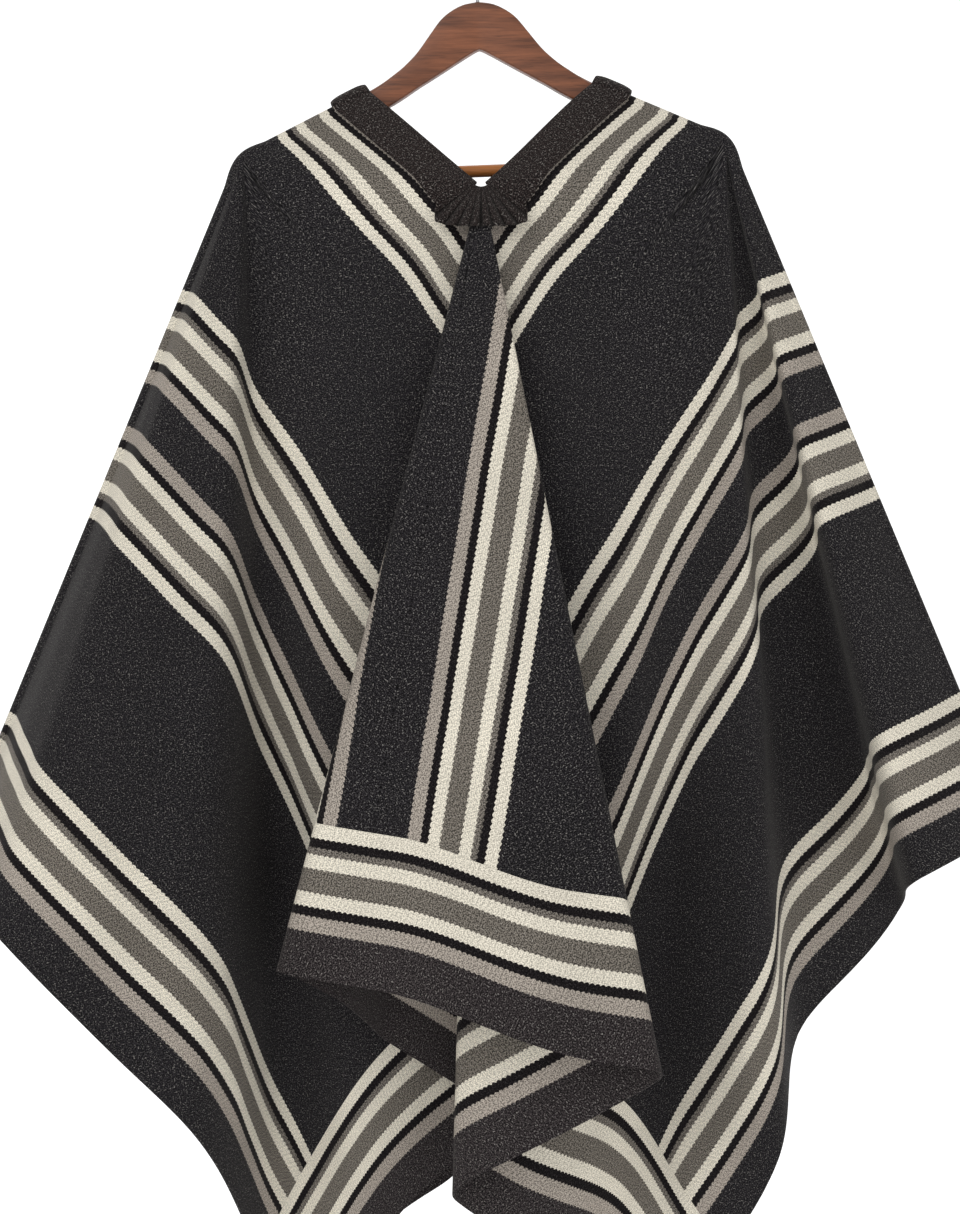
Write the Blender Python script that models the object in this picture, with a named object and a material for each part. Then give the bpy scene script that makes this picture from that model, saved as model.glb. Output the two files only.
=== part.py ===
"""Andean poncho of two striped woollen panels on its wooden hanger, built from named sizes in metres."""
import math

import bmesh
import bpy
import numpy as np

for old in list(bpy.data.objects):
    bpy.data.objects.remove(old, do_unlink=True)

# Cut of the poncho, on the flat cloth: s runs out from the centre seam, t down from the shoulder line.
PANEL_HALF = 0.820
FRONT_LENGTH = 0.870
BORDER_DEPTH = 0.130
SLIT_HALF = 0.160
CLOTH = 0.0018
SEAM_GAP = 0.0004
BORDER_GAP = 0.0010
COLLAR_WIDTH = 0.040
COLLAR_THICK = 0.0034
COLLAR_SHORT = 0.0045
COLLAR_TAPER = 0.20
COLLAR_CLEAR = 0.0009
COLLAR_LINES = 12
GUSSET_THICK = 0.0020
GUSSET_STAND = {"front": 0.0051, "back": 0.0048}
GUSSET_PLEATS = 9
NECK_RING = 0.030
SIDE_LINES = 26
BIAS_STRETCH = 0.040
LOW_LINES = 9
SPREAD = 1.6
LOW_CORNER = 0.500
FAN_LAST = math.radians(37.0)
GUSSET_PLEAT_DEPTH = 0.0016
GUSSET_SPREAD = math.radians(55.0)
GUSSET_ROUND = 0.13
GUSSET_ROWS = 4
GUSSET_HALF = 0.041
GUSSET_DROP = 0.047
GUSSET_ABOVE = 0.0090
GUSSET_TOP = 0.0090
GUSSET_FLARE = 0.0200

# Hanger
ARM_THICK = 0.012
HANGER_TILT = math.radians(2.2)
CROWN_TOP = -0.072
BAR_RADIUS = 0.0055
BAR_DROP = -0.229
BAR_HALF = 0.1777
HOOK_WIRE = 0.0017
HOOK_RADIUS = 0.021
FOLD_RADIUS = 0.0079
WRAP = FOLD_RADIUS * math.pi / 2.0

# Where the cloth is carried: the ends of the arms and the points of the neck, front and back.
REACH_FLAT = 0.146
NECK_ON_ARM = (0.101, 0.0, -0.1553)
ARM_TIP = (0.218, -0.016, -0.2143)
SIDE_SLOPE = {-1: 22.3, 1: 22.6}
NECK_POINT = (0.006, 0.052, -0.253)

# Half-profile of the hanger: distance out from its middle, top and underside below the crown, forward bow.
HANGER_ROWS = (
    # out, top, under, bow
    (0.000, 0.0000, -0.0430, 0.0000),
    (0.014, -0.0020, -0.0510, 0.0000),
    (0.024, -0.0070, -0.0570, 0.0000),
    (0.034, -0.0140, -0.0630, 0.0000),
    (0.046, -0.0300, -0.0700, 0.0000),
    (0.058, -0.0460, -0.0770, 0.0000),
    (0.072, -0.0590, -0.0860, 0.0000),
    (0.088, -0.0700, -0.0950, 0.0000),
    (0.101, -0.0768, -0.1025, 0.0000),
    (0.130, -0.0915, -0.1190, 0.0040),
    (0.1780, -0.1157, -0.1430, 0.0105),
    (0.1784, -0.1159, -0.1665, 0.0106),
    (0.200, -0.1268, -0.1685, 0.0135),
    (0.212, -0.1335, -0.1620, 0.0152),
)

# Folds that fan out from the end of an arm. flat: angle on the cloth from the side fold; out: angle from
# the vertical towards the side; lean: angle away from the hanger's plane.
SIDE_FOLDS = {
    ("front", -1): (
        # flat, out, lean
        (0.0, 22.3, 0.0), (10.0, 19.5, 8.0), (20.0, 16.2, 13.5), (26.0, 12.0, 12.6), (33.0, 6.5, 10.5),
        (38.5, 1.6, 9.0), (42.0, 0.2, 6.0), (50.0, -1.8, -0.5), (54.0, -5.0, -0.8), (64.0, -13.5, 1.2),
        (72.0, -20.5, 2.2), (80.0, -28.5, 2.0), (90.0, -38.0, 1.0), (140.0, -86.0, 1.0), (180.0, -120.0, 0.0),
    ),
    ("front", 1): (
        (0.0, 22.6, 0.0), (4.0, 19.5, 2.5), (8.0, 15.5, 5.0), (10.5, 13.6, 5.5), (13.0, 13.2, 3.0),
        (19.5, 14.0, -3.0), (22.5, 13.5, -4.0), (27.0, 11.0, -3.5), (34.0, 4.5, -1.0), (38.0, 3.5, 3.0),
        (42.0, 2.8, 5.0), (46.0, 0.5, 4.0), (53.0, -4.0, 1.0), (58.0, -8.5, 0.3), (64.0, -14.0, 1.0),
        (72.0, -20.5, 2.0), (90.0, -38.0, 1.0), (140.0, -86.0, 1.0), (180.0, -120.0, 0.0),
    ),
    ("back", -1): (
        (0.0, 22.3, 0.0), (6.0, 20.6, 5.5), (13.0, 17.8, 11.0), (20.0, 14.5, 14.5), (28.0, 9.0, 12.5),
        (35.0, 5.5, 8.0), (41.0, 2.5, 4.0), (48.0, -2.5, 4.5), (54.0, -6.8, 2.5), (60.0, -11.0, 0.5),
        (66.0, -15.5, 1.0), (72.0, -20.5, 2.0), (90.0, -38.0, 1.0), (140.0, -86.0, 1.0), (180.0, -120.0, 0.0),
    ),
    ("back", 1): (
        (0.0, 22.6, 0.0), (7.0, 20.4, 6.5), (15.0, 17.6, 12.5), (22.0, 12.5, 13.5), (30.0, 6.5, 10.0),
        (36.0, 3.6, 5.5), (42.0, -0.5, 3.0), (49.0, -4.0, 5.0), (56.0, -8.8, 3.0), (64.0, -14.5, 0.8),
        (72.0, -20.5, 2.0), (90.0, -38.0, 1.0), (140.0, -86.0, 1.0), (180.0, -120.0, 0.0),
    ),
}

# Folds that fan out from the point of the neck. flat: angle on the cloth from the centre seam, minus to the
# left panel; turn: angle from the vertical, minus to the left; lean: angle away from the hanger's plane;
# layer: how far the cloth stands forward where it is gathered in layers.
NECK_FOLDS = {
    "front": (
        # flat, turn, lean, layer
        (-180.0, -132.8, -20.0, 0.0), (-160.0, -115.0, -16.0, 0.0), (-137.0, -96.5, -9.0, 0.0),
        (-111.0, -68.0, -4.0, 0.0), (-90.0, -48.5, -2.5, 0.0), (-70.0, -32.0, -1.5, 0.0),
        (-57.0, -21.5, -0.8, 0.0), (-49.0, -13.5, 0.2, 0.0), (-42.0, -6.8, -1.6, 0.0),
        (-36.0, -1.0, -2.9, 0.0), (-34.4, 0.3, -3.0, 0.0), (-33.0, 1.2, -2.7, 0.0006),
        (-31.8, 1.2, -1.7, 0.0024), (-30.4, 0.3, -1.2, 0.0030), (-22.0, -6.6, 0.2, 0.0032),
        (-14.0, -9.4, 3.8, 0.0034), (-7.0, -13.4, 4.9, 0.0036), (-5.8, -14.3, 5.3, 0.0052),
        (-4.6, -14.3, 6.3, 0.0096),
        (-3.4, -13.0, 6.7, 0.0120), (0.0, -9.2, 7.2, 0.0122), (8.0, -1.0, 8.6, 0.0124),
        (18.0, 9.4, 10.3, 0.0122), (19.4, 10.9, 10.5, 0.0116), (20.6, 11.2, 9.7, 0.0102),
        (22.0, 10.2, 8.6, 0.0093), (27.0, 5.2, 5.4, 0.0090), (32.4, -0.6, 2.6, 0.0088),
        (33.6, -1.6, 2.1, 0.0082), (34.8, -1.6, 1.1, 0.0068), (36.2, -0.2, 0.8, 0.0062),
        (41.0, 5.2, 0.9, 0.0060), (47.0, 12.0, 0.8, 0.0050), (57.0, 21.0, 0.0, 0.0030),
        (70.0, 31.0, -1.0, 0.0), (90.0, 47.5, -2.5, 0.0), (111.0, 68.0, -4.0, 0.0),
        (137.0, 98.0, -9.0, 0.0), (160.0, 115.0, -16.0, 0.0), (180.0, 131.5, -20.0, 0.0),
    ),
    "back": (
        (-180.0, -132.0, -20.0, 0.0), (-160.0, -115.0, -16.0, 0.0), (-137.0, -97.0, -9.0, 0.0),
        (-111.0, -68.0, -4.0, 0.0), (-90.0, -48.0, -2.5, 0.0), (-70.0, -31.5, -1.2, 0.0),
        (-57.0, -21.0, -0.4, 0.0030), (-46.0, -11.5, 0.8, 0.0052), (-37.0, -2.0, 0.9, 0.0060),
        (-35.2, -0.6, 1.1, 0.0066), (-34.0, -0.6, 2.1, 0.0080), (-32.6, -1.8, 2.6, 0.0088),
        (-27.0, -7.2, 5.0, 0.0091), (-22.4, -11.4, 7.4, 0.0094), (-21.2, -12.2, 8.2, 0.0104),
        (-20.0, -12.0, 9.0, 0.0116), (-18.6, -10.6, 9.1, 0.0122), (-10.0, -2.6, 8.2, 0.0124),
        (0.0, 7.0, 7.2, 0.0122), (4.6, 11.8, 6.6, 0.0120), (5.8, 12.9, 6.0, 0.0096),
        (7.0, 12.9, 5.0, 0.0052), (8.4, 11.6, 4.4, 0.0036), (15.0, 5.8, 1.8, 0.0032),
        (23.6, -1.6, -1.4, 0.0030), (25.0, -2.4, -1.9, 0.0024), (26.2, -2.4, -2.9, 0.0006),
        (27.6, -1.4, -3.2, 0.0), (35.0, 1.0, -2.5, 0.0), (43.0, 7.0, -0.8, 0.0), (50.0, 14.0, 0.2, 0.0),
        (57.0, 20.8, -0.4, 0.0), (70.0, 31.0, -1.2, 0.0), (90.0, 47.5, -2.5, 0.0), (111.0, 68.0, -4.0, 0.0),
        (137.0, 98.0, -9.0, 0.0), (160.0, 115.0, -16.0, 0.0), (180.0, 131.5, -20.0, 0.0),
    ),
}


def smooth(value):
    value = np.clip(value, 0.0, 1.0)
    return value * value * (3.0 - 2.0 * value)


def eased(rows, column, at, soft):
    """A table's column at an angle, its corners eased over a span of soft degrees."""
    angles = [row[0] for row in rows]
    values = [row[column] for row in rows]
    total = 0.0
    weight = 0.0
    for step in range(-3, 4):
        share = 4.0 - abs(step)
        total = total + share * np.interp(at + step * soft / 3.5, angles, values)
        weight = weight + share
    return total / weight


def heading(turn, lean, facing):
    """Unit direction turned from straight down, leaning out on the side it faces."""
    turn = np.radians(turn)
    lean = np.radians(lean)
    return np.stack((
        np.sin(turn) * np.cos(lean),
        -facing * np.sin(lean),
        -np.cos(turn) * np.cos(lean),
    ), axis=-1)


def tilted(point):
    """A place on the level hanger, once the hanger swings a little to one side on its hook."""
    x, y, z = point
    swing = HANGER_TILT
    return np.array((x * math.cos(swing) - z * math.sin(swing), y, x * math.sin(swing) + z * math.cos(swing)))


def arm_end(side):
    return tilted((side * ARM_TIP[0], ARM_TIP[1], ARM_TIP[2]))


def base_line(s, side):
    """The line, at the middle of the fold over the arm, that the cloth is carried on."""
    end = arm_end(side)
    neck = tilted((side * NECK_ON_ARM[0], NECK_ON_ARM[1], NECK_ON_ARM[2]))
    ray = heading(side * SIDE_SLOPE[side], 0.0, 1.0)
    on_arm = neck + (end - neck) * (s / REACH_FLAT)[..., None]
    beyond = end + ray * (s - REACH_FLAT)[..., None]
    mix = smooth((s - REACH_FLAT + 0.030) / 0.060)[..., None]
    return on_arm * (1.0 - mix) + beyond * mix


def fans(s, down, side, half):
    """The sheet as a fan from the arm's end that passes into a fan from the neck point."""
    facing = 1.0 if half == "front" else -1.0
    shift = np.array((0.0, -facing * FOLD_RADIUS, 0.0))
    rows = SIDE_FOLDS[(half, side)]
    far = np.hypot(s - REACH_FLAT, down)
    beta = np.degrees(np.arctan2(down, s - REACH_FLAT))
    soft = 1.2 + 2.2 * smooth(beta / 8.0)
    from_end = heading(side * eased(rows, 1, beta, soft), eased(rows, 2, beta, soft), facing)
    from_end = arm_end(side) + shift + from_end * far[..., None]
    point = np.array((NECK_POINT[0], -facing * NECK_POINT[1], NECK_POINT[2]))
    below = down - (SLIT_HALF - WRAP)
    phi = np.degrees(np.arctan2(s, below))
    # the flap hangs on the bias, and has drawn out a little
    drawn = smooth((facing * side * phi - 2.0) / 14.0) * (1.0 - smooth((phi - 36.0) / 16.0))
    reach = np.hypot(s, below) * (1.0 + BIAS_STRETCH * drawn)
    soft = 0.9 + 5.0 * smooth((phi - 36.0) / 20.0)
    from_neck = heading(eased(NECK_FOLDS[half], 1, side * phi, soft),
                        eased(NECK_FOLDS[half], 2, side * phi, soft), facing)
    from_neck = point + from_neck * reach[..., None]
    from_neck[..., 1] -= facing * eased(NECK_FOLDS[half], 3, side * phi, soft)
    mix = smooth((beta - 50.0) / 16.0)[..., None]
    return from_end * (1.0 - mix) + from_neck * mix


def cloth_point(s, t, side, half):
    """Middle of the cloth at flat distances s from the seam and t from the shoulder line."""
    s = np.asarray(s, dtype=float)
    t = np.asarray(t, dtype=float)
    facing = 1.0 if half == "front" else -1.0
    down = np.maximum(t - WRAP, 0.0)
    shift = np.array((0.0, -facing * FOLD_RADIUS, 0.0))
    base = base_line(s, side)
    # the sheet is drawn on to the line it hangs from, and eases into its fans below it
    slack = base + shift - fans(s, np.zeros_like(s), side, half)
    ease = 0.150 - 0.080 * smooth((s - REACH_FLAT) / 0.060)
    sheet = fans(s, down, side, half) + slack * (1.0 - smooth(down / ease))[..., None]
    # rounded over the arm, and down the side below it
    along = base_line(s + 0.004, side) - base_line(s - 0.004, side)
    inward = np.stack((side * along[..., 2], np.zeros_like(s), -side * along[..., 0]), axis=-1)
    inward = inward / np.linalg.norm(inward, axis=-1)[..., None]
    sweep = np.clip(t / WRAP, 0.0, 1.0) * (math.pi / 2.0)
    folded = base - inward * (FOLD_RADIUS * np.cos(sweep))[..., None] + shift * np.sin(sweep)[..., None]
    return np.where((t < WRAP)[..., None], folded, sheet)


# Where the mesh's lines across the panel end, and where they start.
def panel_rays(side, half):
    """Flat start and end of each line of the mesh, from the side fold round to the centre seam."""
    low = FRONT_LENGTH - BORDER_DEPTH
    slit = SLIT_HALF
    edge = SEAM_GAP / 2.0
    ring = NECK_RING
    corner = LOW_CORNER
    rays = []
    for step in range(SIDE_LINES):
        share = step / SIDE_LINES
        rays.append(((REACH_FLAT + 0.050 - 0.045 * share, WRAP), (PANEL_HALF, WRAP + (low - WRAP) * share)))
    for step in range(LOW_LINES):
        share = step / LOW_LINES
        start = (REACH_FLAT + 0.005 - 0.050 * share, WRAP)
        rays.append((start, (PANEL_HALF + (corner - PANEL_HALF) * share, low)))
    inner = (
        (REACH_FLAT - 0.045, WRAP), (0.070, WRAP), (0.035, WRAP), (edge, WRAP),
        (edge, 0.035), (edge, 0.070), (edge, 0.104), (ring * 0.80, slit - ring * 0.60), (ring, slit),
    )
    last = math.degrees(FAN_LAST)
    reach = math.tan(FAN_LAST) * (low - slit)
    for step, start in enumerate(inner):
        share = step / len(inner)
        rays.append((start, (corner + (reach - corner) * share, low)))
    folds = [side * row[0] for row in NECK_FOLDS[half] if 0.0 < side * row[0] < last]
    angles = sorted({0.0, last, *folds})
    filled = [0.0]
    for angle in angles[1:]:
        gap = angle - filled[-1]
        parts = max(1, round(gap / 2.4)) if gap > 1.7 else 2
        start = filled[-1]
        filled.extend(start + gap * (part + 1) / parts for part in range(parts))
    for angle in reversed(filled):
        angle = math.radians(angle)
        start = (max(ring * math.sin(angle), edge), slit + ring * math.cos(angle))
        rays.append((start, (max(math.tan(angle) * (low - slit), edge), low)))
    return rays


def seam_normals(places, side_of):
    """Normals of the cloth itself along the border's seam, so that both pieces stop square to it."""
    low = FRONT_LENGTH - BORDER_DEPTH
    fixed = {}
    for (s, t), (index, _) in places.items():
        if abs(abs(t) - low) < 0.004:
            side = side_of or (1 if s >= 0.0 else -1)
            half = "front" if t > 0.0 else "back"
            fixed[index] = outward(np.array(abs(s)), np.array(low), side, half)
    return fixed


def add_grid(sheet, grid, side, half, signed=1):
    """Faces over a grid of flat places, in a dictionary of the places and a list of faces."""
    points, faces = sheet
    numbers = []
    for line in grid:
        row = []
        for s, t in line:
            key = (round(signed * s, 5), round(t if half == "front" else -t, 5))
            if key not in points:
                points[key] = (len(points), cloth_point(np.array(s), np.array(t), side, half))
            row.append(points[key][0])
        numbers.append(row)
    for first, second in zip(numbers, numbers[1:]):
        for i in range(len(first) - 1):
            face = (first[i], first[i + 1], second[i + 1], second[i])
            if (side > 0) == (half == "front"):
                face = face[::-1]
            faces.append(face)


def ray_grid(rays, rows):
    """Places along each ray, from its start to its end."""
    shares = [(row / rows) ** SPREAD for row in range(rows + 1)]
    return [[(start[0] + (end[0] - start[0]) * share, start[1] + (end[1] - start[1]) * share)
             for share in shares] for start, end in rays]


def fold_grid(rays, rows):
    """Places over the rounded fold on the arm and down the side, which meets the first ray."""
    on_arm = [start[0] for start, _ in rays if abs(start[1] - WRAP) < 1e-9]
    start, end = rays[0]
    beyond = [start[0] + (end[0] - start[0]) * (row / rows) ** SPREAD for row in range(1, rows + 1)]
    columns = list(reversed(on_arm)) + beyond
    return [[(s, WRAP * step / 3.0) for s in columns] for step in range(4)]


def outward(s, t, side, half):
    """Unit normal of the cloth on its outer face."""
    step = 0.002
    low = np.maximum(t - step, 0.0)
    across = cloth_point(s + step, t, side, half) - cloth_point(s, t, side, half)
    along = cloth_point(s, t + step, side, half) - cloth_point(s, low, side, half)
    normal = np.cross(along, across) * (side if half == "front" else -side)
    return normal / np.linalg.norm(normal)


def solid_from_sheet(name, places, faces, thick, color, rough, fixed=None):
    """A closed wall of even thickness about a sheet of faces."""
    mesh = bpy.data.meshes.new(name)
    work = bmesh.new()
    middle = [np.array(place) for place in places]
    normals = [np.zeros(3) for _ in middle]
    rims = {}
    for face in faces:
        a, b, c, d = (middle[i] for i in face)
        normal = np.cross(c - a, d - b)
        for i in face:
            normals[i] = normals[i] + normal
        for i, j in zip(face, face[1:] + face[:1]):
            rims[(i, j)] = True
    normals = [n / max(np.linalg.norm(n), 1e-12) for n in normals]
    for i, normal in (fixed or {}).items():
        normals[i] = normal if np.dot(normal, normals[i]) > 0.0 else -normal
    upper = [work.verts.new(p + n * thick / 2.0) for p, n in zip(middle, normals)]
    lower = [work.verts.new(p - n * thick / 2.0) for p, n in zip(middle, normals)]
    for face in faces:
        work.faces.new([upper[i] for i in face])
        work.faces.new([lower[i] for i in reversed(face)])
    for i, j in rims:
        if (j, i) not in rims:
            work.faces.new((upper[j], upper[i], lower[i], lower[j]))
    return finish_solid(name, mesh, work, color, rough)


def finish_solid(name, mesh, work, color, rough):
    bmesh.ops.recalc_face_normals(work, faces=work.faces[:])
    bmesh.ops.triangulate(work, faces=work.faces[:])
    work.to_mesh(mesh)
    work.free()
    item = bpy.data.objects.new(name, mesh)
    bpy.context.collection.objects.link(item)
    finish = bpy.data.materials.new(name + "_finish")
    finish.use_nodes = True
    shader = finish.node_tree.nodes["Principled BSDF"]
    shader.inputs["Base Color"].default_value = (*color, 1.0)
    shader.inputs["Roughness"].default_value = rough
    mesh.materials.append(finish)
    return item


CHARCOAL = (0.024, 0.021, 0.026)
BAND = (0.110, 0.098, 0.082)
COLLAR_BROWN = (0.028, 0.020, 0.018)

for side, name in ((-1, "panel_left"), (1, "panel_right")):
    places = {}
    faces = []
    for half in ("front", "back"):
        rays = panel_rays(side, half)
        add_grid((places, faces), fold_grid(rays, 7), side, half)
        add_grid((places, faces), ray_grid(rays, 7), side, half)
    ordered = [value[1] for value in sorted(places.values(), key=lambda value: value[0])]
    solid_from_sheet(name, ordered, faces, CLOTH, CHARCOAL, 0.95, seam_normals(places, side))


def border_rays(side, half):
    """Flat start and end of each line across the border, from the side edge to the centre seam."""
    low = FRONT_LENGTH - BORDER_DEPTH
    rays = []
    for start, end in panel_rays(side, half):
        if end[1] < low - 1e-9:
            continue
        s = end[0]
        inner = math.tan(FAN_LAST) * (low - SLIT_HALF)
        grown = s * (FRONT_LENGTH - SLIT_HALF) / (low - SLIT_HALF)
        if s > inner:
            limit = math.tan(FAN_LAST) * (FRONT_LENGTH - SLIT_HALF)
            grown = limit + (PANEL_HALF - limit) * (s - inner) / (PANEL_HALF - inner)
        if s <= SEAM_GAP:
            s = 0.0
            grown = 0.0
        rays.append(((s, low + BORDER_GAP), (min(grown, PANEL_HALF), FRONT_LENGTH)))
    return rays


for half in ("front", "back"):
    places = {}
    faces = []
    for side in (-1, 1):
        add_grid((places, faces), ray_grid(border_rays(side, half), 2), side, half, signed=side)
    ordered = [value[1] for value in sorted(places.values(), key=lambda value: value[0])]
    solid_from_sheet("border_" + half, ordered, faces, CLOTH, BAND, 0.95, seam_normals(places, 0))


for side, name in ((-1, "collar_left"), (1, "collar_right")):
    middle = []
    faces = []
    widths = [SEAM_GAP / 2.0 + (COLLAR_WIDTH - SEAM_GAP / 2.0) * step / 4 for step in range(5)]
    lift = CLOTH / 2.0 + COLLAR_CLEAR + COLLAR_THICK / 2.0
    count = 0
    for half, order in (("back", range(COLLAR_LINES, 0, -1)), ("front", range(0, COLLAR_LINES + 1))):
        for step in order:
            for s in widths:
                last = SLIT_HALF - COLLAR_SHORT - COLLAR_TAPER * s
                t = WRAP * step / 3.0 if step <= 3 else WRAP + (last - WRAP) * (step - 3) / (COLLAR_LINES - 3)
                s_now = np.array(s)
                t_now = np.array(t)
                place = cloth_point(s_now, t_now, side, half)
                middle.append(place + outward(s_now, t_now, side, half) * lift)
            count += 1
    for row in range(count - 1):
        for column in range(4):
            first = row * 5 + column
            faces.append((first, first + 1, first + 6, first + 5))
    solid_from_sheet(name, middle, faces, COLLAR_THICK, COLLAR_BROWN, 0.95)


for half, facing in (("front", 1.0), ("back", -1.0)):
    middle = []
    faces = []
    columns = GUSSET_PLEATS * 4
    for column in range(columns + 1):
        share = column / columns * 2.0 - 1.0
        angle = share * GUSSET_SPREAD
        side_reach = GUSSET_HALF / max(math.sin(abs(angle)), 0.1)
        length = min(GUSSET_DROP / math.cos(angle) * (1.0 - GUSSET_ROUND * math.tan(angle) ** 2), side_reach)
        for row in range(GUSSET_ROWS + 1):
            part = row / GUSSET_ROWS
            reach = GUSSET_TOP + (length - GUSSET_TOP) * part
            pleat = -math.cos(share * GUSSET_PLEATS * math.pi) * GUSSET_PLEAT_DEPTH * (reach / length) ** 2
            stand = GUSSET_STAND[half] + GUSSET_FLARE * part * math.cos(angle) ** 4
            middle.append(np.array((
                NECK_POINT[0] + math.sin(angle) * reach,
                -facing * (NECK_POINT[1] + stand + pleat),
                NECK_POINT[2] + GUSSET_ABOVE - math.cos(angle) * reach,
            )))
    for column in range(columns):
        for row in range(GUSSET_ROWS):
            first = column * (GUSSET_ROWS + 1) + row
            other = first + GUSSET_ROWS + 1
            face = (first, first + 1, other + 1, other)
            faces.append(face if facing < 0 else face[::-1])
    solid_from_sheet("gusset_" + half, middle, faces, GUSSET_THICK, COLLAR_BROWN, 0.95)


def add_rings(name, rings, color, rough):
    """A closed solid through rings of equal count, capped at both ends."""
    mesh = bpy.data.meshes.new(name)
    work = bmesh.new()
    loops = [[work.verts.new(tilted(place)) for place in ring] for ring in rings]
    for first, second in zip(loops, loops[1:]):
        for i in range(len(first)):
            j = (i + 1) % len(first)
            work.faces.new((first[i], first[j], second[j], second[i]))
    work.faces.new(loops[0][::-1])
    work.faces.new(loops[-1])
    return finish_solid(name, mesh, work, color, rough)


def arm_ring(out, top, under, bow):
    """Rounded upright section of the hanger at a distance out from its middle."""
    half = ARM_THICK / 2.0
    curve = min(half, (top - under) / 2.0) * (1.0 if abs(out) > 0.09 else 0.45)
    ring = []
    for corner, (sign_y, sign_z) in enumerate(((1, 1), (-1, 1), (-1, -1), (1, -1))):
        for step in range(4):
            turn = math.radians(corner * 90.0 + step * 30.0)
            y = sign_y * (half - curve) + curve * math.cos(turn)
            centre = top - curve if sign_z > 0 else under + curve
            ring.append((out, y - bow, CROWN_TOP + centre + curve * math.sin(turn)))
    return ring


sections = []
for out, top, under, bow in reversed(HANGER_ROWS):
    if out > 0.0:
        sections.append(arm_ring(-out, top, under, bow))
for out, top, under, bow in HANGER_ROWS:
    sections.append(arm_ring(out, top, under, bow))
add_rings("hanger_body", sections, (0.130, 0.055, 0.028), 0.45)

rings = []
for out in (-BAR_HALF, BAR_HALF):
    bow = 0.0105
    rings.append([(out, -bow + BAR_RADIUS * math.cos(turn), BAR_DROP + BAR_RADIUS * math.sin(turn))
                  for turn in (step * math.pi / 8.0 for step in range(16))])
add_rings("hanger_bar", rings, (0.330, 0.170, 0.075), 0.45)

path = []
centre = -(HOOK_RADIUS - HOOK_WIRE)
for step in range(15):
    turn = math.radians(195.0 - step * 18.5)
    path.append((HOOK_RADIUS * math.cos(turn), centre + HOOK_RADIUS * math.sin(turn)))
path.extend(((0.0030, -0.0435), (0.0, -0.0480), (0.0, CROWN_TOP + 0.0004)))
rings = []
for step, (x, z) in enumerate(path):
    before = path[max(step - 1, 0)]
    after = path[min(step + 1, len(path) - 1)]
    run = math.hypot(after[0] - before[0], after[1] - before[1])
    dx, dz = (after[0] - before[0]) / run, (after[1] - before[1]) / run
    ring = []
    for side in range(8):
        turn = side * math.pi / 4.0
        ring.append((x + HOOK_WIRE * math.cos(turn) * -dz, HOOK_WIRE * math.sin(turn),
                     z + HOOK_WIRE * math.cos(turn) * dx))
    rings.append(ring)
add_rings("hanger_hook", rings, (0.600, 0.600, 0.610), 0.30)
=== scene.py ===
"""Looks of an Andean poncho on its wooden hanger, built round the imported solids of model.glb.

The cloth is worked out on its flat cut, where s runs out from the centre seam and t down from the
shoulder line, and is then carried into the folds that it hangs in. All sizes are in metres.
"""
import math

import bmesh
import bpy
import numpy as np
from bpy.props import FloatProperty, FloatVectorProperty, PointerProperty
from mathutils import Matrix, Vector


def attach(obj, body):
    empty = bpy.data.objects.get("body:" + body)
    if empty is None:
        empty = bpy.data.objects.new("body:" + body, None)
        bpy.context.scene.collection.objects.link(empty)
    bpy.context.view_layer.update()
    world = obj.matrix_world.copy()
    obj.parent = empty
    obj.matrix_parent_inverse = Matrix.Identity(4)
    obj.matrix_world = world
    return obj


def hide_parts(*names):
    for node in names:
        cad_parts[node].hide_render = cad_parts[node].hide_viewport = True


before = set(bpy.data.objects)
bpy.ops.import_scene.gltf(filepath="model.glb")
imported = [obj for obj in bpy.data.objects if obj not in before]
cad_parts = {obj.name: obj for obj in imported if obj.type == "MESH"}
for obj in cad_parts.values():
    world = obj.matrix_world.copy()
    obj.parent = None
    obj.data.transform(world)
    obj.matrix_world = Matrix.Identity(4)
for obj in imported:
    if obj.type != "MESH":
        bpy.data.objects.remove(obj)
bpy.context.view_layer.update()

bl_info = {
    "name": "Andean Poncho",
    "version": (1, 0, 0),
    "blender": (4, 5, 0),
    "location": "3D View > Sidebar > Poncho",
    "description": "Builds a striped woollen poncho on its wooden hanger, and a plain studio",
    "category": "Add Mesh",
}

# The poncho's halves with the way that each faces, and its sides with the way that each lies.
FACING = {"front": 1.0, "back": -1.0}
SIDES = {"left": -1, "right": 1}

# Cut of the poncho on the flat cloth, from the centre seam and from the shoulder line, the cloth's thickness
# and the small gaps that part its pieces.
PANEL_HALF = 0.820
FRONT_LENGTH = 0.870
BORDER_DEPTH = 0.130
BORDER_START = FRONT_LENGTH - BORDER_DEPTH
SLIT_HALF = 0.160
CLOTH = 0.0018
SEAM_GAP = 0.0004
SEAM_EDGE = SEAM_GAP / 2.0
BORDER_GAP = 0.0002

# Neck bands: thickness, how far they stop short of the slit's ends, their clear height over the cloth, the
# width that shows, how far they swell at their middle, how round their edges are, and how much closer their
# rows lie at the shoulder.
COLLAR_THICK = 0.0034
COLLAR_SHORT = 0.0045
COLLAR_TAPER = 0.20
COLLAR_CLEAR = 0.0009
BAND_SHOWN = 0.0392
BAND_PUFF = 0.0020
BAND_EDGE = 0.0013
BAND_SPREAD = 1.3

# Bows: a pleated fan about a point above the foot of the slit, which stands off the cloth and flares.
GUSSET_THICK = 0.0020
GUSSET_STAND = {"front": 0.0051, "back": 0.0048}
GUSSET_PLEATS = 9
GUSSET_PLEAT_DEPTH = 0.0016
GUSSET_SPREAD = math.radians(55.0)
GUSSET_ROUND = 0.13
GUSSET_HALF = 0.041
GUSSET_DROP = 0.047
GUSSET_ABOVE = 0.0090
GUSSET_TOP = 0.0090
GUSSET_FLARE = 0.0200

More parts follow.
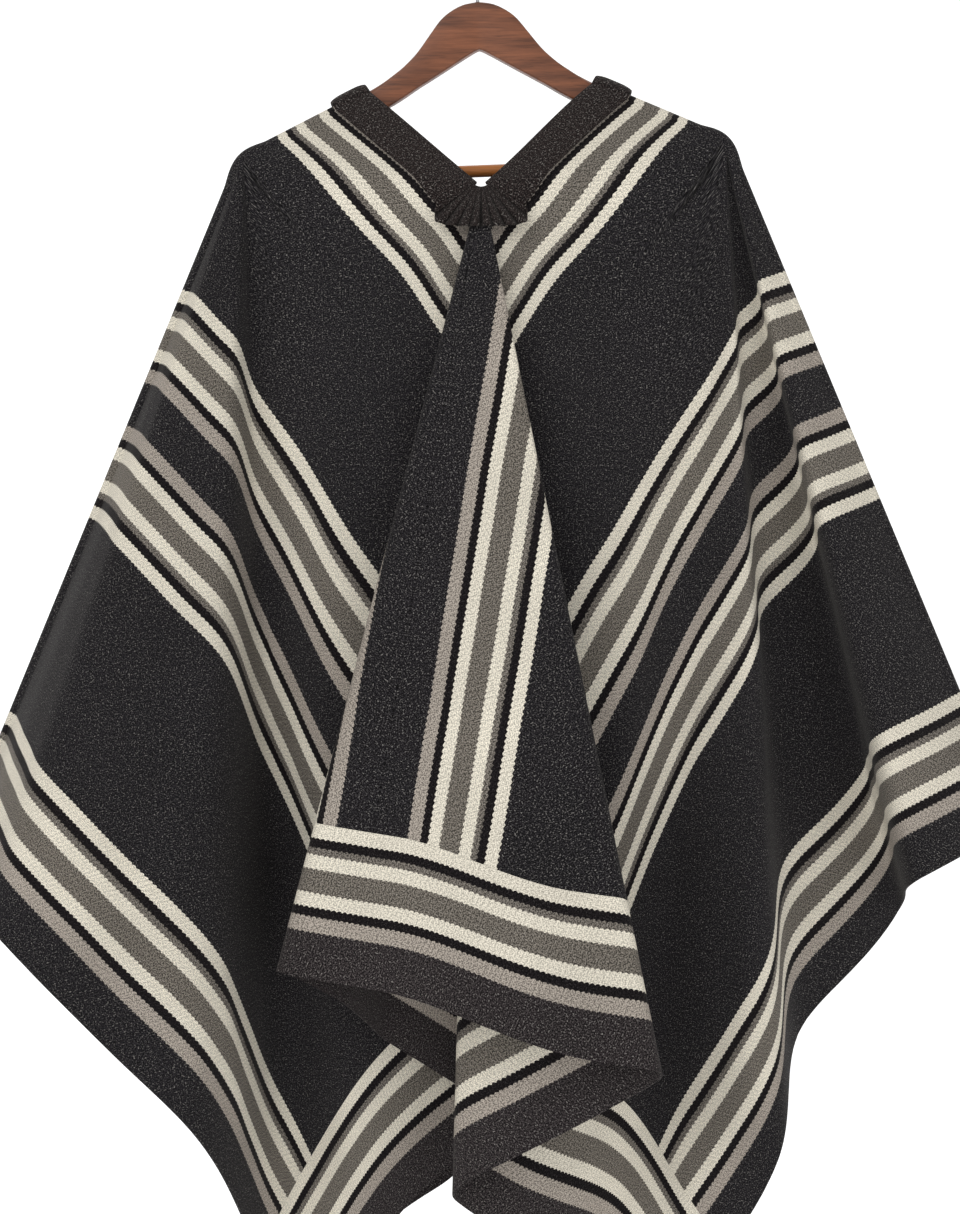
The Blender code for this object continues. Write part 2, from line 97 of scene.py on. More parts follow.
# How far the crown of each of a bow's pleats stands over the hollow beside it, how deep and how wide its
# middle cleft is, how far and how far down it is pinched, how wide its cloth is and how round its edges are.
BOW_CROWN = 0.0046
BOW_CLEFT = 0.0050
BOW_CLEFT_SHARE = 0.08
BOW_PINCH = 0.0006
BOW_PINCH_SHARE = 0.45
BOW_SPAN = 0.06
BOW_EDGE = 0.0006

# How far the flap draws out on the bias.
BIAS_STRETCH = 0.040

# Fineness of the meshes: steps between two of the cloth's lines, rows along them, and the other pieces'
# columns, rows, steps and sides.
FINE_LINES = 3
PANEL_ROWS = 88
BORDER_ROWS = 18
BAND_COLUMNS = 24
BAND_ROWS = 72
BOW_COLUMNS = GUSSET_PLEATS * 14
BOW_ROWS = 24
HANGER_COLUMNS = 180
SECTION_ROWS = 41
HOOK_STEPS, HOOK_SIDES = 44, 20
BAR_STEPS, BAR_SIDES = 25, 32

# The columns of a flat place.
ACROSS, DOWN = 0, 1

# Points nearer than this are one, and edges sharper than this many degrees stay sharp.
WELD = 0.00002
SHARP_ANGLE = 50.0
HANGER_SHARP = 40.0

# Hanger, its bar and its hook.
ARM_THICK = 0.012
HANGER_TILT = math.radians(2.2)
CROWN_TOP = -0.072
BAR_RADIUS = 0.0055
BAR_DROP = -0.229
BAR_HALF = 0.1777
BAR_BOW = 0.0105
RIM_ROUND = 0.0006
HOOK_WIRE = 0.0017
HOOK_RADIUS = 0.021

# The cloth's fold over the arm: its radius, and the length of a quarter turn of it.
FOLD_RADIUS = 0.0079
WRAP = FOLD_RADIUS * math.pi / 2.0

# How round the hanger's edges are, as a share of its half thickness: distance out, share.
ROUNDED_AT = (0.080, 0.100)
ROUNDED_BY = (0.45, 0.999)

# How far its outline is eased, up to the notch at the arm's end and past it.
NOTCH_FROM = 0.165
OUTLINE_SOFT, NOTCH_SOFT = 0.0075, 0.0004

# How the hook's wire bends, from and to in degrees, and then goes down into the crown: across, up.
HOOK_BEND = (195.0, -64.0)
HOOK_NECK = (
    (0.0055, -0.0408), (0.0026, -0.0437), (0.0007, -0.0470), (0.0, -0.0510), (0.0, -0.0600),
    (0.0, CROWN_TOP + 0.0004),
)

# Where the cloth is carried: the arm's end on the flat cloth, the neck's place on the arm, the arm's end
# itself, the slope of each side fold, and the point of the neck at the back, which is mirrored to the front.
REACH_FLAT = 0.146
NECK_ON_ARM = (0.101, 0.0, -0.1553)
ARM_TIP = (0.218, -0.016, -0.2143)
SIDE_SLOPE = {-1: 22.3, 1: 22.6}
NECK_POINT = (0.006, 0.052, -0.253)

# The mesh's lines on the flat cut: how many end down the side edge, how many along the hem as far in as
# LOW_CORNER, the few for the fold itself, the flap's last angle and how far apart its lines lie in degrees,
# and how much closer the rows lie at a line's start.
SIDE_LINES = 26
LOW_LINES = 9
LOW_CORNER = 0.500
WRAP_LINES, WRAP_STEP = 6, 0.003
FAN_LAST = math.radians(37.0)
FAN_STEP, FAN_NARROW = 2.4, 1.7
SPREAD = 1.6

# Where the side's and the low hem's lines start, past the arm's end: the first, and how far on the last is.
SIDE_STARTS = (0.050, -0.045)
LOW_STARTS = (0.005, -0.050)

# Where the lines further in start: along the fold, down the slit, and round its foot on a ring.
NECK_RING = 0.030
INNER_STARTS = (
    (REACH_FLAT - 0.045, WRAP), (0.070, WRAP), (0.035, WRAP), (SEAM_EDGE, WRAP), (SEAM_EDGE, 0.035),
    (SEAM_EDGE, 0.070), (SEAM_EDGE, 0.104), (NECK_RING * 0.80, SLIT_HALF - NECK_RING * 0.60),
    (NECK_RING, SLIT_HALF),
)

# How gently the cloth passes from one form into the next, in metres along it: from the arm to the side fold,
# from the line that it hangs from to its folds, what that loses past the arm's end, and into its small
# creases.
ARM_EASE = 0.060
HANG_EASE = 0.150
SIDE_EASE = 0.080
CREASE_EASE = 0.050

# The same in degrees on the flat cloth: the flap's half angle about the neck point and the span beyond it,
# the span over which it draws out, and where the folds of the arm's end pass into those of the neck.
FLAP_ANGLE, FLAP_SPAN = 36.0, 16.0
DRAWN_FROM, DRAWN_SPAN = 2.0, 14.0
MEET_ANGLE, MEET_SPAN = 50.0, 16.0

# How far the folds' corners are rounded, in degrees: at least, how much more further on, and over what span.
SIDE_SOFT = (1.2, 2.2, 8.0)
NECK_SOFT = (0.9, 5.0, 20.0)

# Half-profile of the hanger: distance out from its middle, top and underside below the crown, forward bow.
HANGER_ROWS = (
    # out, top, under, bow
    (0, 0, -0.043, 0), (0.014, -0.002, -0.051, 0), (0.024, -0.007, -0.057, 0), (0.034, -0.014, -0.063, 0),
    (0.046, -0.03, -0.07, 0), (0.058, -0.046, -0.077, 0), (0.072, -0.059, -0.086, 0),
    (0.088, -0.07, -0.095, 0), (0.101, -0.0768, -0.1025, 0), (0.13, -0.0915, -0.119, 0.004),
    (0.178, -0.1157, -0.143, 0.0105), (0.1784, -0.1159, -0.1665, 0.0106), (0.2, -0.1268, -0.1685, 0.0135),
    (0.212, -0.1335, -0.162, 0.0152),
)

# Folds under the arm that both halves share.
UNDER_ARM = ((90.0, -38.0, 1.0), (140.0, -86.0, 1.0), (180.0, -120.0, 0.0))

# Folds that fan out from the end of an arm. flat: angle on the cloth from the side fold; out: angle from
# the vertical towards the side; lean: angle away from the hanger's plane.
SIDE_FOLDS = {
    ("front", -1): (
        # flat, out, lean
        (0, 22.3, 0), (10, 19.5, 8), (20, 16.2, 13.5), (26, 12, 12.6), (33, 6.5, 10.5), (38.5, 1.6, 9),
        (42, 0.2, 6), (50, -1.8, -0.5), (54, -5, -0.8), (64, -13.5, 1.2), (72, -20.5, 2.2), (80, -28.5, 2),
        *UNDER_ARM,
    ),
    ("front", 1): (
        (0, 22.6, 0), (4, 19.5, 2.5), (8, 15.5, 5), (10.5, 13.6, 5.5), (13, 13.2, 3), (19.5, 14, -3),
        (22.5, 13.5, -4), (27, 11, -3.5), (34, 4.5, -1), (38, 3.5, 3), (42, 2.8, 5), (46, 0.5, 4),
        (53, -4, 1), (58, -8.5, 0.3), (64, -14, 1), (72, -20.5, 2), *UNDER_ARM,
    ),
    ("back", -1): (
        (0, 22.3, 0), (6, 20.6, 5.5), (13, 17.8, 11), (20, 14.5, 14.5), (28, 9, 12.5), (35, 5.5, 8),
        (41, 2.5, 4), (48, -2.5, 4.5), (54, -6.8, 2.5), (60, -11, 0.5), (66, -15.5, 1), (72, -20.5, 2),
        *UNDER_ARM,
    ),
    ("back", 1): (
        (0, 22.6, 0), (7, 20.4, 6.5), (15, 17.6, 12.5), (22, 12.5, 13.5), (30, 6.5, 10), (36, 3.6, 5.5),
        (42, -0.5, 3), (49, -4, 5), (56, -8.8, 3), (64, -14.5, 0.8), (72, -20.5, 2), *UNDER_ARM,
    ),
}

# Folds on the right, high beside the neck, that both halves share.
BESIDE_NECK = (
    (90, 47.5, -2.5, 0), (111, 68, -4, 0), (137, 98, -9, 0), (160, 115, -16, 0), (180, 131.5, -20, 0),
)

# Folds that fan out from the point of the neck. flat: angle on the cloth from the centre seam, minus to the
# left panel; turn: angle from the vertical, minus to the left; lean: angle away from the hanger's plane;
# layer: how far the cloth stands forward where it is gathered in layers.
NECK_FOLDS = {
    "front": (
        # flat, turn, lean, layer
        (-180, -132.8, -20, 0), (-160, -115, -16, 0), (-137, -96.5, -9, 0), (-111, -68, -4, 0),
        (-90, -48.5, -2.5, 0), (-70, -32, -1.5, 0), (-57, -21.5, -0.8, 0), (-49, -13.5, 0.2, 0),
        (-42, -6.8, -1.6, 0), (-36, -1, -2.9, 0), (-34.4, 0.3, -3, 0), (-33, 1.2, -2.7, 0.0006),
        (-31.8, 1.2, -1.7, 0.0024), (-30.4, 0.3, -1.2, 0.003), (-22, -6.6, 0.2, 0.0032),
        (-14, -9.4, 3.8, 0.0034), (-7, -13.4, 4.9, 0.0036), (-5.8, -14.3, 5.3, 0.0052),
        (-4.6, -14.3, 6.3, 0.0096), (-3.4, -13, 6.7, 0.012), (0, -9.2, 7.2, 0.0122), (8, -1, 8.6, 0.0124),
        (18, 9.4, 10.3, 0.0122), (19.4, 10.9, 10.5, 0.0116), (20.6, 11.2, 9.7, 0.0102),
        (22, 10.2, 8.6, 0.0093), (27, 5.2, 5.4, 0.009), (32.4, -0.6, 2.6, 0.0088), (33.6, -1.6, 2.1, 0.0082),
        (34.8, -1.6, 1.1, 0.0068), (36.2, -0.2, 0.8, 0.0062), (41, 5.2, 0.9, 0.006), (47, 12, 0.8, 0.005),
        (57, 21, 0, 0.003), (70, 31, -1, 0), *BESIDE_NECK,
    ),
    "back": (
        (-180, -132, -20, 0), (-160, -115, -16, 0), (-137, -97, -9, 0), (-111, -68, -4, 0),
        (-90, -48, -2.5, 0), (-70, -31.5, -1.2, 0), (-57, -21, -0.4, 0.003), (-46, -11.5, 0.8, 0.0052),
        (-37, -2, 0.9, 0.006), (-35.2, -0.6, 1.1, 0.0066), (-34, -0.6, 2.1, 0.008),
        (-32.6, -1.8, 2.6, 0.0088), (-27, -7.2, 5, 0.0091), (-22.4, -11.4, 7.4, 0.0094),
        (-21.2, -12.2, 8.2, 0.0104), (-20, -12, 9, 0.0116), (-18.6, -10.6, 9.1, 0.0122),
        (-10, -2.6, 8.2, 0.0124), (0, 7, 7.2, 0.0122), (4.6, 11.8, 6.6, 0.012), (5.8, 12.9, 6, 0.0096),
        (7, 12.9, 5, 0.0052), (8.4, 11.6, 4.4, 0.0036), (15, 5.8, 1.8, 0.0032), (23.6, -1.6, -1.4, 0.003),
        (25, -2.4, -1.9, 0.0024), (26.2, -2.4, -2.9, 0.0006), (27.6, -1.4, -3.2, 0), (35, 1, -2.5, 0),
        (43, 7, -0.8, 0), (50, 14, 0.2, 0), (57, 20.8, -0.4, 0), (70, 31, -1.2, 0), *BESIDE_NECK,
    ),
}

# Small soft creases on the flat cloth, in the panel's own s and t. turn: heading from straight down, towards
# the side; depth: how far the crease stands out, minus for a trough.
CREASES = {
    ("front", -1): (
        # s, t, turn, length, width, depth
        (0.17, 0.13, 8, 0.26, 0.018, 0.0026), (0.135, 0.15, -6, 0.2, 0.016, -0.002),
        (0.215, 0.12, 24, 0.3, 0.016, -0.0026), (0.33, 0.24, 40, 0.33, 0.022, 0.003),
        (0.42, 0.33, 12, 0.3, 0.018, 0.0022), (0.24, 0.42, -10, 0.26, 0.016, 0.0024),
        (0.56, 0.26, 55, 0.24, 0.018, -0.0024), (0.5, 0.52, 20, 0.24, 0.024, 0.0032),
        (0.66, 0.42, 30, 0.26, 0.016, 0.0022), (0.18, 0.56, 4, 0.2, 0.014, -0.002),
    ),
    ("front", 1): (
        (0.165, 0.13, 6, 0.3, 0.018, 0.0028), (0.13, 0.15, -10, 0.2, 0.016, -0.002),
        (0.235, 0.11, 30, 0.28, 0.014, -0.0026), (0.3, 0.3, 26, 0.34, 0.022, 0.0032),
        (0.43, 0.23, 46, 0.26, 0.016, 0.0024), (0.36, 0.43, 14, 0.26, 0.018, -0.0026),
        (0.58, 0.42, 38, 0.3, 0.02, 0.003), (0.64, 0.18, 60, 0.16, 0.014, 0.002),
        (0.25, 0.52, 2, 0.22, 0.014, 0.002), (0.48, 0.56, 18, 0.18, 0.016, -0.0022),
    ),
    ("back", -1): (
        (0.168, 0.13, 10, 0.28, 0.018, 0.0026), (0.125, 0.15, -8, 0.18, 0.015, -0.002),
        (0.25, 0.14, 34, 0.3, 0.016, 0.0026), (0.37, 0.26, 22, 0.36, 0.022, -0.003),
        (0.5, 0.3, 50, 0.26, 0.018, 0.0024), (0.3, 0.48, 6, 0.22, 0.016, 0.0022),
        (0.6, 0.47, 32, 0.24, 0.02, 0.0028),
    ),
    ("back", 1): (
        (0.168, 0.13, 4, 0.26, 0.018, 0.0026), (0.128, 0.15, -12, 0.19, 0.015, -0.002),
        (0.23, 0.13, 28, 0.32, 0.015, -0.0026), (0.34, 0.28, 30, 0.33, 0.022, 0.003),
        (0.47, 0.25, 44, 0.25, 0.016, -0.0022), (0.42, 0.5, 16, 0.23, 0.018, 0.0026),
        (0.62, 0.38, 36, 0.28, 0.02, 0.0026),
    ),
}

# One set of warp stripes, from the plain field to the band's wide grey middle and on: width and yarn.
STRIPE_SET = (
    # width, yarn
    (0.012, "white"), (0.008, "black"), (0.006, "thin_grey"), (0.012, "white"),
    (0.020, "wide_grey"), (0.012, "white"), (0.008, "black"), (0.013, "light_grey"),
)

# Where each set of stripes starts on the panel, out from the seam, which way it runs, and how wide it is
# beside the others.
STRIPE_STARTS = (
    # s, way, share of the full width
    (0.1045, -1, 0.83), (0.275, 1, 1.0), (0.500, -1, 1.0), (0.690, 1, 1.0),
)
STRIPE_SPAN = sum(width for width, _ in STRIPE_SET)

# How far the twill's ribs turn from square to the warp on the panels, and from square to it on the borders.
RIB_TURN = math.radians(38.0)
BORDER_RIB_TURN = math.radians(78.0)

# The saw-toothed edge of a stripe: how far its teeth stand out and how far it wanders.
SAW_TOOTH = 0.0013
STRIPE_WANDER = 0.0035

# Wool's shades. Four numbers are a range of what the shade goes by, and the shade at each end. All but the
# patches go by the yarn's lightness: the painted shade in the twill's grooves, the whole yarn, the ground and
# strength of its mottle, and how far pale flecks show on light yarn and on black. BETWEEN_SHADE is the
# painted shade in the grooves between yarns.
GROOVE_SHADE = (0.02, 0.5, 0.26, 0.14)
YARN_GAIN = (0.02, 0.6, 1.05, 1.10)
PATCH_GAIN = (0.3, 0.7, 0.90, 1.10)
MOTTLE_GROUND = (0.02, 0.5, 0.14, 0.58)
MOTTLE_GAIN = (0.02, 0.5, 1.45, 0.52)
PALE_ON_LIGHT = (0.02, 0.4, 0.58, 0.0)
PALE_ON_BLACK = (0.007, 0.0105, 0.15, 1.0)
BETWEEN_SHADE = 0.26
PALE_FLECK = (172, 168, 162)

# Studio: half its width, where its floor starts and turns up, the turn's radius, its top over the floor, how
# much it glows, the light all round, and where the lamps point.
SWEEP_HALF = 6.0
SWEEP_NEAR, SWEEP_FAR = -5.0, 4.2
SWEEP_TURN = 1.2
SWEEP_TOP = 6.0
SWEEP_GLOW = 0.42
AIR_LIGHT = 0.43
LAMPS_AIM = (0.0, 0.0, -0.65)


# ---------------- sizes and colours

def linear(*color):
    """A colour of 0 to 255 values as Blender's linear one."""
    return tuple((c / 255.0 / 12.92) if c <= 10 else ((c / 255.0 + 0.055) / 1.055) ** 2.4 for c in color)


def color_property(name, description, *color):
    return FloatVectorProperty(name=name, description=description, default=linear(*color),
                               subtype="COLOR", size=3, min=0.0, max=1.0)


def length_property(name, description, default, low, high):
    return FloatProperty(name=name, description=description, default=default, min=low, max=high,
                         unit="LENGTH")


def power_property(name, description, default):
    return FloatProperty(name=name, description=description, default=default, min=0.0, unit="POWER")


class PonchoClothSettings(bpy.types.PropertyGroup):
    """Sizes and yarns of the woven cloth."""
    rib: length_property("Rib", "Spacing of the twill's diagonal ribs", 0.0042, 0.001, 0.02)
    yarn: length_property("Yarn", "Spacing of the yarns that run along the stripes", 0.0015, 0.0005, 0.01)
    fleck: length_property("Fleck", "Size of the pale flecks in the spun yarn", 0.0013, 0.0005, 0.01)
    charcoal: color_property("Charcoal", "Yarn of the plain field", 29, 27, 30)
    border: color_property("Border", "Yarn of the plain edge of the border", 45, 40, 41)
    white: color_property("White", "Yarn of the white stripes", 222, 215, 199)
    black: color_property("Black", "Yarn of the black stripes", 20, 16, 18)
    wide_grey: color_property("Wide grey", "Yarn of the wide grey stripe", 108, 102, 94)
    thin_grey: color_property("Thin grey", "Yarn of the thin grey stripe", 108, 102, 95)
    light_grey: color_property("Light grey", "Yarn of the light grey stripe", 160, 151, 141)
    brown: color_property("Brown", "Yarn of the neck bands and bows", 34, 27, 26)


class PonchoHangerSettings(bpy.types.PropertyGroup):
    """Finish of the hanger."""
    wood: color_property("Wood", "Varnished wood of the hanger", 138, 84, 56)
    wood_dark: color_property("Dark grain", "Grain lines of the hanger", 84, 50, 34)
    bar: color_property("Bar wood", "Lighter wood of the round bar", 188, 116, 54)
    steel: color_property("Steel", "Polished wire of the hook", 190, 190, 192)


class PonchoStageSettings(bpy.types.PropertyGroup):
    """Camera, light and studio."""
    distance: length_property("Distance", "Camera's distance from the hanger", 1.90, 0.5, 10.0)
    height: length_property("Height", "Camera's height, from the hook", -0.628, -3.0, 2.0)
    across: length_property("Across", "Camera's place to the right of the hook", 0.005, -1.0, 1.0)
    lens: FloatProperty(name="Lens", description="Camera's focal length", default=61.2, min=20.0, max=200.0,
                        unit="CAMERA")
    floor: length_property("Floor", "Height of the floor", -1.62, -5.0, 0.0)
    key: power_property("Key light", "Power of the large soft light", 46.0)
    fill: power_property("Fill light", "Power of the weaker soft light", 16.0)


# ---------------- the hung cloth

def smooth(value):
    """Passes gently from nought to one."""
    value = np.clip(value, 0.0, 1.0)
    return value * value * (3.0 - 2.0 * value)


def eased(rows, column, at, soft):
    """A table's column at an angle, its corners eased over a span of soft degrees."""
    angles = [row[0] for row in rows]
    values = [row[column] for row in rows]
    total = 0.0
    weight = 0.0
    for step in range(-3, 4):
        share = 4.0 - abs(step)
        total = total + share * np.interp(at + step * soft / 3.5, angles, values)
        weight = weight + share
    return total / weight


def heading(turn, lean, facing):
    """Unit direction turned from straight down, leaning out on the side it faces."""
    turn = np.radians(turn)
    lean = np.radians(lean)
    return np.stack((
        np.sin(turn) * np.cos(lean),
        -facing * np.sin(lean),
        -np.cos(turn) * np.cos(lean),
    ), axis=-1)


def tilted(point):
    """A place on the level hanger, once the hanger swings a little to one side on its hook."""
    x, y, z = point
    swing = HANGER_TILT
    return np.array((x * math.cos(swing) - z * math.sin(swing), y, x * math.sin(swing) + z * math.cos(swing)))


def arm_end(side):
    """Where the cloth comes off the arm."""
    return tilted((side * ARM_TIP[0], ARM_TIP[1], ARM_TIP[2]))


def base_line(s, side):
    """The line, at the middle of the fold over the arm, that the cloth is carried on."""
    end = arm_end(side)
    neck = tilted((side * NECK_ON_ARM[0], NECK_ON_ARM[1], NECK_ON_ARM[2]))
    ray = heading(side * SIDE_SLOPE[side], 0.0, 1.0)
    on_arm = neck + (end - neck) * (s / REACH_FLAT)[..., None]
    beyond = end + ray * (s - REACH_FLAT)[..., None]
    mix = smooth((s - REACH_FLAT + ARM_EASE / 2.0) / ARM_EASE)[..., None]
    return on_arm * (1.0 - mix) + beyond * mix


def softness(angle, limits):
    """How many degrees a fold's corner is rounded over at an angle."""
    least, more, span = limits
    return least + more * smooth(angle / span)


def fans(s, down, side, half):
    """The sheet as a fan from the arm's end that passes into a fan from the neck point."""
    facing = FACING[half]
    shift = np.array((0.0, -facing * FOLD_RADIUS, 0.0))
    rows = SIDE_FOLDS[(half, side)]
    far = np.hypot(s - REACH_FLAT, down)
    beta = np.degrees(np.arctan2(down, s - REACH_FLAT))
    soft = softness(beta, SIDE_SOFT)
    from_end = heading(side * eased(rows, 1, beta, soft), eased(rows, 2, beta, soft), facing)
    from_end = arm_end(side) + shift + from_end * far[..., None]
    point = np.array((NECK_POINT[0], -facing * NECK_POINT[1], NECK_POINT[2]))
    below = down - (SLIT_HALF - WRAP)
    phi = np.degrees(np.arctan2(s, below))
    # the flap hangs on the bias, and has drawn out a little on one side of the seam
    drawn = smooth((facing * side * phi - DRAWN_FROM) / DRAWN_SPAN)
    drawn = drawn * (1.0 - smooth((phi - FLAP_ANGLE) / FLAP_SPAN))
    reach = np.hypot(s, below) * (1.0 + BIAS_STRETCH * drawn)
    soft = softness(phi - FLAP_ANGLE, NECK_SOFT)
    turn, lean, layer = (eased(NECK_FOLDS[half], column, side * phi, soft) for column in (1, 2, 3))
    from_neck = point + heading(turn, lean, facing) * reach[..., None]
    from_neck[..., 1] -= facing * layer
    mix = smooth((beta - MEET_ANGLE) / MEET_SPAN)[..., None]
    return from_end * (1.0 - mix) + from_neck * mix


def cloth_point(s, t, side, half):
    """Middle of the cloth at flat distances s from the seam and t from the shoulder line."""
    s = np.asarray(s, dtype=float)
    t = np.asarray(t, dtype=float)
    facing = FACING[half]
    down = np.maximum(t - WRAP, 0.0)
    shift = np.array((0.0, -facing * FOLD_RADIUS, 0.0))
    base = base_line(s, side)
    # the sheet is drawn on to the line it hangs from, and eases into its fans below it
    slack = base + shift - fans(s, np.zeros_like(s), side, half)
    ease = HANG_EASE - SIDE_EASE * smooth((s - REACH_FLAT) / ARM_EASE)
    sheet = fans(s, down, side, half) + slack * (1.0 - smooth(down / ease))[..., None]
    # rounded over the arm, and down the side below it
    step = 0.004
    along = base_line(s + step, side) - base_line(s - step, side)
    inward = np.stack((side * along[..., 2], np.zeros_like(s), -side * along[..., 0]), axis=-1)
    inward = inward / np.linalg.norm(inward, axis=-1)[..., None]
    sweep = np.clip(t / WRAP, 0.0, 1.0) * (math.pi / 2.0)
    folded = base - inward * (FOLD_RADIUS * np.cos(sweep))[..., None] + shift * np.sin(sweep)[..., None]
    return np.where((t < WRAP)[..., None], folded, sheet)


def creased(s, t, side, half):
    """How far the small creases stand out of the cloth at a flat place."""
    height = np.zeros(np.shape(s))
    for start_s, start_t, turn, length, width, depth in CREASES[(half, side)]:
        turn = math.radians(turn)
        along = (s - start_s) * math.sin(turn) + (t - start_t) * math.cos(turn)
        across = (s - start_s) * math.cos(turn) - (t - start_t) * math.sin(turn)
        along = np.clip(along / length, 0.0, 1.0)
        height = height + depth * np.exp(-(across / width) ** 2) * np.sin(math.pi * along) ** 1.5
    return height


def cloth_normal(s, t, side, half):
    """Unit normals of the cloth on its outer face."""
    step = 0.0015
    low = np.maximum(t - step, 0.0)
    near = np.maximum(s - step, 0.0)
    across = cloth_point(s + step, t, side, half) - cloth_point(near, t, side, half)
    along = cloth_point(s, t + step, side, half) - cloth_point(s, low, side, half)
    normal = np.cross(along, across) * side * FACING[half]
    return normal / np.maximum(np.linalg.norm(normal, axis=-1), 1e-12)[..., None]


def hung(s, t, side, half):
    """Places of the cloth with its small creases."""
    stand = creased(s, t, side, half) * smooth((t - WRAP) / CREASE_EASE)
    return cloth_point(s, t, side, half) + cloth_normal(s, t, side, half) * stand[..., None]


# ---------------- meshes

def mapped_grid(work, columns, rows, place):
    """A grid bent by place(u, v), which takes arrays of 0 to 1 and gives points and flat places."""
    cut = work.verts.layers.float_vector.get("cut") or work.verts.layers.float_vector.new("cut")
    verts = bmesh.ops.create_grid(work, x_segments=columns, y_segments=rows, size=0.5)["verts"]
    u = np.array([v.co.x for v in verts]) + 0.5
    v = np.array([v.co.y for v in verts]) + 0.5
    points, flat = place(np.clip(u, 0.0, 1.0), np.clip(v, 0.0, 1.0))
    for vert, point, (across, down) in zip(verts, points, flat):
        vert.co = point
        vert[cut] = (across, down, 0.0)


def smoothed(mesh, sharp=SHARP_ANGLE):
    """Smooths a mesh, but for the edges sharper than so many degrees."""
    mesh.shade_smooth()
    mesh.set_sharp_from_angle(angle=math.radians(sharp))


def linked(name, data):
    """A new object of the scene."""
    obj = bpy.data.objects.new(name, data)
    bpy.context.scene.collection.objects.link(obj)
    return obj


def finished(name, work, line=None, sharp=SHARP_ANGLE):
    """The mesh object of a bmesh, whose flat places become its UV map.

    line is the column of the flat place that is nought where two grids meet and are joined.
    """
    cut = work.verts.layers.float_vector["cut"]
    if line is not None:
        on_line = [vert for vert in work.verts if abs(vert[cut][line]) < 1e-7]
        bmesh.ops.remove_doubles(work, verts=on_line, dist=WELD)
    bmesh.ops.recalc_face_normals(work, faces=work.faces[:])
    uv = work.loops.layers.uv.new("cut")
    for face in work.faces:
        for loop in face.loops:
            loop[uv].uv = loop.vert[cut].xy
    mesh = bpy.data.meshes.new(name)
    work.to_mesh(mesh)
    work.free()
    smoothed(mesh, sharp)
    if "cut" in mesh.attributes and mesh.attributes["cut"].domain == "POINT":
        mesh.attributes.remove(mesh.attributes["cut"])
    return linked(name, mesh)


def walled(obj, thick, bevel=0.0):
    """Gives a sheet its thickness, and rounds its edges by bevel."""
    wall = obj.modifiers.new("wall", "SOLIDIFY")
    wall.thickness = thick
    wall.offset = 0.0
    wall.use_even_offset = False
    if bevel > 0.0:
        edge = obj.modifiers.new("edge", "BEVEL")
        edge.width = bevel
        edge.segments = 3
        edge.limit_method = "ANGLE"
        edge.angle_limit = math.radians(60.0)
    bpy.context.view_layer.update()
    graph = bpy.context.evaluated_depsgraph_get()
    mesh = bpy.data.meshes.new_from_object(obj.evaluated_get(graph))
    obj.modifiers.clear()
    obj.data = mesh
    smoothed(mesh)
    return obj


def placed(obj, material, node):
    """Gives a piece its finish and its body, and hides the solid that it stands for."""
    obj.data.materials.clear()
    obj.data.materials.append(material)
    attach(obj, "root")
    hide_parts(node)


# ---------------- materials

def new_material(name):
    material = bpy.data.materials.new(name)
    material.use_nodes = True
    return material, material.node_tree, material.node_tree.nodes["Principled BSDF"]


def feed(tree, socket, value):
    if isinstance(value, bpy.types.NodeSocket):
        tree.links.new(value, socket)
    else:
        socket.default_value = value


def noded(tree, kind, inputs, output=0, **settings):
    """An output of a new node with these settings, whose inputs are fed with sockets or held at values."""
    node = tree.nodes.new(kind)
    for name, value in settings.items():
        setattr(node, name, value)
    for socket, value in inputs.items():
        feed(tree, node.inputs[socket], value)
    return node.outputs[output]


def maths(tree, operation, first, second=0.0, third=0.5):
    return noded(tree, "ShaderNodeMath", {0: first, 1: second, 2: third}, operation=operation)


def times(tree, first, second):
    return maths(tree, "MULTIPLY", first, second)


def plus(tree, first, second):
    return maths(tree, "ADD", first, second)


def minus(tree, first, second):
    return maths(tree, "SUBTRACT", first, second)


def absolute(tree, value):
    return maths(tree, "ABSOLUTE", value)


def ranged(tree, value, low, high, to_low=0.0, to_high=1.0):
    inputs = {"Value": value, "From Min": low, "From Max": high, "To Min": to_low, "To Max": to_high}
    return noded(tree, "ShaderNodeMapRange", inputs, "Result")


def blended(tree, share, first, second):
    """A colour between two. The node's colours are its seventh and eighth inputs and its third output."""
    return noded(tree, "ShaderNodeMix", {0: share, 6: first, 7: second}, 2, data_type="RGBA")


def noise(tree, vector, scale, detail=2.0, rough=0.5):
    inputs = {"Vector": vector, "Scale": scale, "Detail": detail, "Roughness": rough}
    return noded(tree, "ShaderNodeTexNoise", inputs, "Fac")


def mapped(tree, vector, turn=(0.0, 0.0, 0.0), scale=(1.0, 1.0, 1.0)):
    return noded(tree, "ShaderNodeMapping", {"Vector": vector, "Rotation": turn, "Scale": scale})


def scaled(tree, color, gain):
    return noded(tree, "ShaderNodeVectorMath", {0: color, "Scale": gain}, operation="SCALE")


def split(tree, vector):
    node = tree.nodes.new("ShaderNodeSeparateXYZ")
    feed(tree, node.inputs[0], vector)
    return node.outputs


def bumped(tree, shader, height, strength, distance):
    """Raises a surface by a height."""
    inputs = {"Strength": strength, "Distance": distance, "Height": height}
    feed(tree, shader.inputs["Normal"], noded(tree, "ShaderNodeBump", inputs))


def opaque(color):
    return (*color, 1.0)


